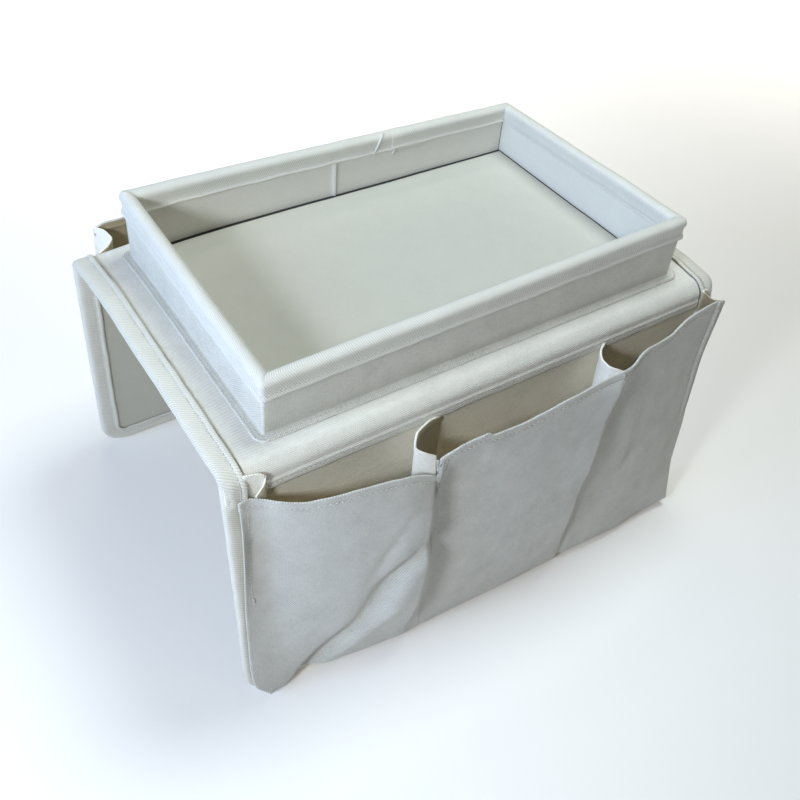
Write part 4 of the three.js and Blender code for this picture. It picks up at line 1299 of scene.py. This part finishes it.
def pocket_strip(strip):
    side = strip.side
    x = strip.columns()
    hem_drop, _ = strip.hem(x)
    hem_drop = hem_drop + 0.35 * wave(x, 11, 7)
    rows = np.concatenate([[0, 0.7, 1.5, 2.3, 3.1, 3.9, 4.6, 5.4, 6.4, 8.0], np.linspace(10.5, 158, 66)])
    low = BOTTOM_DROP - 1.2 + 0.5 * wave(x, 71, 23)
    share = np.clip((rows - rows[9]) / (rows[-1] - rows[9]), 0, 1)
    drop = (
        hem_drop[:, None] + np.minimum(rows, rows[9])[None]
        + (low - hem_drop - rows[9])[:, None] * share[None]
    )
    depth = strip_depth(strip, x, drop)
    below = drop - hem_drop[:, None]
    turned = 1 - step(below, 4.9, 6.0)
    pucker = hump(below, 4.4, 0.9) * (0.52 + 0.24 * wave(x[:, None], 31, 2.6))
    depth = depth - 0.36 * turned - pucker + 0.25 * turned * wave(x[:, None], 44, 6)
    place_x = x[:, None] + strip.shift(x[:, None], drop)
    thick = CLOTH + 0.7 * turned

    # bottom crease, then the floor back to its seam on the flap
    low_depth, low_x = depth[:, -1:], place_x[:, -1:]
    turn_depth = low_depth - np.array([[0.3, 1.1]])
    turn_drop = low[:, None] + np.array([[0.75, 1.15]])
    back = np.linspace(0, 1, 9)[1:][None]
    floor_depth = turn_depth[:, -1:] * (1 - back) + 0.75 * back
    floor_drop = turn_drop[:, -1:] * (1 - back) + SEAM_DROP * back + 1.0 * np.sin(math.pi * back)
    all_x = np.concatenate([place_x, np.repeat(low_x, 2 + back.shape[1], 1)], 1)
    all_drop = np.concatenate([drop, turn_drop, floor_drop], 1)
    all_depth = np.concatenate([depth, turn_depth, floor_depth], 1)
    thick = np.concatenate([thick, np.full((len(x), 2 + back.shape[1]), CLOTH)], 1)
    p = on_flap(side, all_x, all_drop, PANEL + all_depth)
    lengths = np.concatenate(
        [np.zeros((len(x), 1)), np.cumsum(np.linalg.norm(np.diff(p, axis=1), axis=-1), 1)], 1
    )
    turn = TURN[side]
    flat = points_of(run_along(p[:, 40])[:, None] * turn, -(lengths + hem_drop[:, None]))
    # painted shade: a darker tone of the cloth on the strip's face, and a dark warm tone on its back for the
    # shade inside the pockets
    obj = cloth(f"{side}_pocket_cloth", p, flat, POCKET_SHADED, thick, inside=INSIDE_SHADE)
    carry(obj, strip)
    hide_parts(f"{side}_pocket_front")

    # topstitching of the hem
    threads = []
    stitch_depth = strip_depth(strip, x, (hem_drop + 4.4)[:, None])[:, 0] - 0.36 + 0.42
    path = on_flap(side, x + strip.shift(x, hem_drop + 4.4), hem_drop + 4.4, PANEL + stitch_depth)
    outward = on_flap(side, x, hem_drop, 1.0) - on_flap(side, x, hem_drop, 0.0)
    bounds_x = [-1e9, *strip.steps, 1e9]
    for k in range(len(bounds_x) - 1):
        here = (x > bounds_x[k]) & (x < bounds_x[k + 1])
        name = f"{side}_pocket_hem_thread_{k + 1}"
        threads.append(stitches(name, path[here], outward[here], pitch=3.2, share=0.66, radius=0.33))
        carry(threads[-1], strip)
    return obj


def column_of(strip, x, drop):
    """The strip's column that leans out to a place x."""
    column = x
    for _ in range(10):
        column = (column + x - strip.shift(column, drop)) / 2
    return column


def leaf(strip, name, node, top, bottom, front_line, bulge=0.0, inside_layer=0):
    """A gusset or divider: a sheet from the flap to the strip, between its top and foot curves."""
    side = strip.side
    t = np.linspace(0, 1, 34)
    knots = np.linspace(0, 1, len(top))
    high = np.stack([through(t, knots, [row[k] for row in top]) for k in range(3)], -1)
    knots = np.linspace(0, 1, len(bottom))
    low = np.stack([through(t, knots, [row[k] for row in bottom]) for k in range(3)], -1)
    v = np.concatenate([np.array([0, 0.8, 1.8, 2.8, 3.8, 4.8]) / 170, np.linspace(0.05, 1, 44)])
    mix = ease(v)[None, :, None]
    p = high[:, None] * (1 - mix) + low[:, None] * mix
    p[..., 1] = high[:, None, 1] * (1 - v)[None] + low[:, None, 1] * v[None]
    if front_line is not None:
        goal_x, goal_depth = front_line(p[-1, :, 1])
        pull = (t**2)[:, None]
        p[..., 0] += pull * (goal_x - p[-1, :, 0])[None]
        p[..., 2] += pull * (goal_depth - p[-1, :, 2])[None]
    soft = np.sin(math.pi * t)[:, None]
    p[..., 0] += soft * (
        bulge * np.sin(math.pi * v)[None] + 0.6 * wave(t[:, None] * 40 + 17, p[..., 1] + 31, 19)
    )
    spot_x, spot_drop = p[..., 0].ravel(), p[..., 1].ravel()
    room = strip_depth(strip, column_of(strip, spot_x, spot_drop), spot_drop[:, None])[:, 0] - 0.85
    behind = ease((t[:, None] - 0.05) / 0.1) * (v[None] > 0.06)
    p[..., 2] = np.where(
        behind > 0, np.maximum(np.minimum(p[..., 2], room.reshape(p.shape[:2])), 0.45), p[..., 2]
    )
    turned = (1 - step(v, 3.8 / 170, 5.2 / 170))[None] * np.ones((len(t), 1))
    place = on_flap(side, p[..., 0], p[..., 1], PANEL + p[..., 2])
    lengths = run_along(place[:, 5])
    flat = grid_flat(lengths, -v * 170)
    # painted light and shade: a lighter tone of the cloth on the leaf, and the dark warm tone on its inner
    # face for the shade inside the pockets
    obj = cloth(
        name, place, flat, LEAF_LIT, 0.75 + 0.55 * turned, inside=INSIDE_SHADE, inside_layer=inside_layer
    )
    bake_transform(obj)
    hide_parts(node)
    return obj


def strip_edge(strip, x_end, behind=0.2):
    """The strip's end column, for a gusset to meet."""

    def line(drop):
        x = np.full(1, x_end)
        depth = strip_depth(strip, x, drop[None])[0]
        return x_end + strip.shift(np.full(len(drop), x_end), drop), depth - behind

    return line


def ridge_edge(strip, k):
    """The ridge a divider is sewn to, just behind the strip."""

    def line(drop):
        x = strip.ridge_line(k, drop)
        depth = np.array([strip_depth(strip, np.array([a]), np.array([[b]]))[0, 0] for a, b in zip(x, drop)])
        return x, depth - 1.0

    return line


def bar_tack(strip, name, x, drop, length, body):
    """Close zigzag of thread where a divider's corner is sewn to the strip."""
    n = int(length / 0.55) * 2
    d = drop + np.arange(n) * length / n
    across = np.where(np.arange(n) % 2 == 0, -0.9, 0.9)
    depth = np.array([strip_depth(strip, np.array([x]), np.array([[b]]))[0, 0] for b in d])
    path = on_flap(strip.side, x + strip.shift(x + 0 * d, d) + across, d, PANEL + depth + 0.55)
    out = np.tile(on_flap(strip.side, 0.0, 10.0, 1.0) - on_flap(strip.side, 0.0, 10.0, 0.0), (n, 1))
    return stitches(name, path, out, body=body, pitch=1.9, share=0.98, radius=0.32)


def edge_row(strip, name, x, drops):
    """Stitching down the strip itself, along one of its ends."""
    depth = strip_depth(strip, np.array([x]), drops[None])[0]
    path = on_flap(strip.side, x + strip.shift(np.full(len(drops), x), drops), drops, PANEL + depth + 0.42)
    out = np.tile(on_flap(strip.side, 0.0, 10.0, 1.0) - on_flap(strip.side, 0.0, 10.0, 0.0), (len(drops), 1))
    row = stitches(name, path, out, pitch=2.9, radius=0.27)
    carry(row, strip)


def seam_row(strip, name, x, drops, body):
    """Straight stitching down the flap that holds a divider's back edge."""
    path = on_flap(strip.side, x + 0 * drops, drops, PANEL + 0.15 + 0 * drops)
    out = on_flap(strip.side, x + 0 * drops, drops, PANEL + 1.0) - on_flap(
        strip.side, x + 0 * drops, drops, PANEL + 0 * drops
    )
    return stitches(name, path, out, body=body, pitch=3.0, radius=0.26)


front, rear = FrontStrip(), RearStrip()
for strip in (front, rear):
    pocket_strip(strip)

leaf(
    front, "front_divider_leaf_1", "front_divider_1",
    [
        seen(440.6, 416, 1, further=-0.3),
        seen(428, 422, 5),
        (-66, 5.5, 10.5),
        seen(417, 449, 15, lower=-0.4),
        seen(430, 455, 20, aside=-0.8),
        seen(441, 459, 23, aside=-0.2, lower=0.2, further=-0.4),
    ],
    [(-51, 174, 0.7), (-56, 176, 3), (-60, 178, 6), (-64, 180, 9), (-67, 181, 11), (-69, 182, 13)],
    ridge_edge(front, 0), -2.0,
)
leaf(
    front, "front_divider_leaf_2", "front_divider_2",
    [
        seen(605.9, 341.6, 1, further=-0.3),
        (74.5, 7.2, 6),
        seen(605.9, 364, 15, lower=-0.8, further=-3),
        (71.8, 10.5, 17),
        (76, 12.5, 21),
        seen(623.7, 372.6, 23, aside=0.2, lower=-0.1, further=-0.4),
    ],
    [(80, 174, 0.7), (76, 176, 4), (72, 178, 8), (69, 180, 11.5), (67, 181, 14), (66, 182, 16.5)],
    ridge_edge(front, 1), -1.5,
)
leaf(
    front, "front_gusset_left_leaf", "front_gusset_left",
    [
        seen(243.4, 476.5, 0.8, further=0.1),
        (-159, -4.6, 1.8),
        seen(264, 476.5, 3),
        seen(262, 485, 4, aside=0.5, further=-0.2),
        (-163, 8.9, 3.6),
    ],
    [(-164, 174, 0.9), (-160, 176, 2), (-157, 178, 4), (-159, 180, 6.5), (-165, 182, 8.8)],
    strip_edge(front, -158.0, 1.6), 0.6,
)
leaf(
    front, "front_gusset_right_leaf", "front_gusset_right",
    [
        (176, -1, 0.9),
        (169, -3, 1.6),
        seen(701, 290.5, 1, further=2),
        seen(712.7, 300, 5, aside=-0.5, lower=-0.7),
        seen(724.8, 300.8, 7, aside=-0.1, lower=-0.2, further=-0.2),
    ],
    [(166, 174, 0.9), (162, 176, 3), (158, 178, 7), (162, 180, 12), (171, 182, 17.6)],
    strip_edge(front, front.right), -1.0, 1,
)
leaf(
    rear, "rear_divider_leaf_1", "rear_divider_1",
    [(0, 3, 0.7), (-10, 1, 6), (-17, 1.5, 11), (-18.5, 0, 15), (-14, -3, 20), (-8.8, -5.4, 22.4)],
    [(2, 174, 0.7), (-1, 176, 3.5), (-4, 178, 7), (-5, 180, 10), (-4, 181, 12.5), (-3, 182, 15)],
    ridge_edge(rear, 0), -2.0,
)
leaf(
    rear, "rear_gusset_left_leaf", "rear_gusset_left",
    [(-163, -2, 0.9), (-154, -3, 4), (-148, -3.6, 9), (-150.5, -5, 14), (-157, -6, 18.6)],
    [(-166, 174, 0.9), (-159, 176, 2), (-155, 178, 3.5), (-158, 180, 5), (-166, 182, 6.4)],
    strip_edge(rear, rear.left), 1.2,
)
leaf(
    rear, "rear_gusset_right_leaf", "rear_gusset_right",
    [
        seen(98.3, 247.3, 1, side="rear", further=-0.1),
        (152, -4.2, 5),
        seen(110.5, 232.7, 10, side="rear"),
        (150.8, -7.6, 15),
        seen(92.9, 222.8, 20, side="rear", aside=-0.1, lower=-0.3, further=-0.4),
    ],
    [(164, 174, 0.9), (158, 176, 2), (154, 178, 3.5), (157, 180, 5), (164.4, 182, 6.4)],
    strip_edge(rear, rear.right), -1.2, 1,
)
seam_drops = np.linspace(11, 172, 120)
seam_row(front, "front_divider_thread_1", -44.5, seam_drops, "front_flap")
seam_row(front, "front_divider_thread_2", 84.2, seam_drops, "front_flap")
seam_row(rear, "rear_divider_thread_1", 1.0, seam_drops, "rear_flap")
bar_tack(front, "front_bar_tack_1", -59.3, 20.5, 11.5, "front_pockets")
bar_tack(front, "front_bar_tack_2", 79.6, 15.5, 12.0, "front_pockets")
bar_tack(rear, "rear_bar_tack_1", -8.8, -5.0, 11.0, "rear_pockets")
edge_row(front, "front_edge_thread_right", 180.4, np.linspace(12.5, 108, 90))
edge_row(front, "front_edge_thread_left", -161.5, np.linspace(17, 91, 70))
bar_tack(front, "front_bar_tack_3", -161.0, 90.5, 4.0, "front_flap")


# Floor, world, end
def studio():
    size = 40.0
    lowest = min(
        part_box("front_flap_tape")[0].z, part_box("rear_flap_tape")[0].z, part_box("front_pocket_front")[0].z
    )
    mesh = bpy.data.meshes.new("studio_floor")
    half = size / 2
    mesh.from_pydata(
        [(-half, -half, 0), (half, -half, 0), (half, half, 0), (-half, half, 0)], [], [(0, 1, 2, 3)]
    )
    floor = bpy.data.objects.new("studio_floor", mesh)
    floor.location = (0, 0, lowest - 0.0012)
    bpy.context.scene.collection.objects.link(floor)
    material = bpy.data.materials.new("studio_floor")
    material.use_nodes = True
    skin = material.node_tree.nodes["Principled BSDF"]
    skin.inputs["Base Color"].default_value = (0.955, 0.92, 0.875, 1)
    skin.inputs["Emission Color"].default_value = (1.0, 0.97, 0.93, 1)
    skin.inputs["Emission Strength"].default_value = 0.07
    skin.inputs["Roughness"].default_value = 0.9
    mesh.materials.append(material)
    world = bpy.data.worlds.new("studio")
    world.use_nodes = True
    world.node_tree.nodes["Background"].inputs["Color"].default_value = (*WORLD_COLOUR, 1)
    world.node_tree.nodes["Background"].inputs["Strength"].default_value = WORLD_STRENGTH
    bpy.context.scene.world = world


studio()
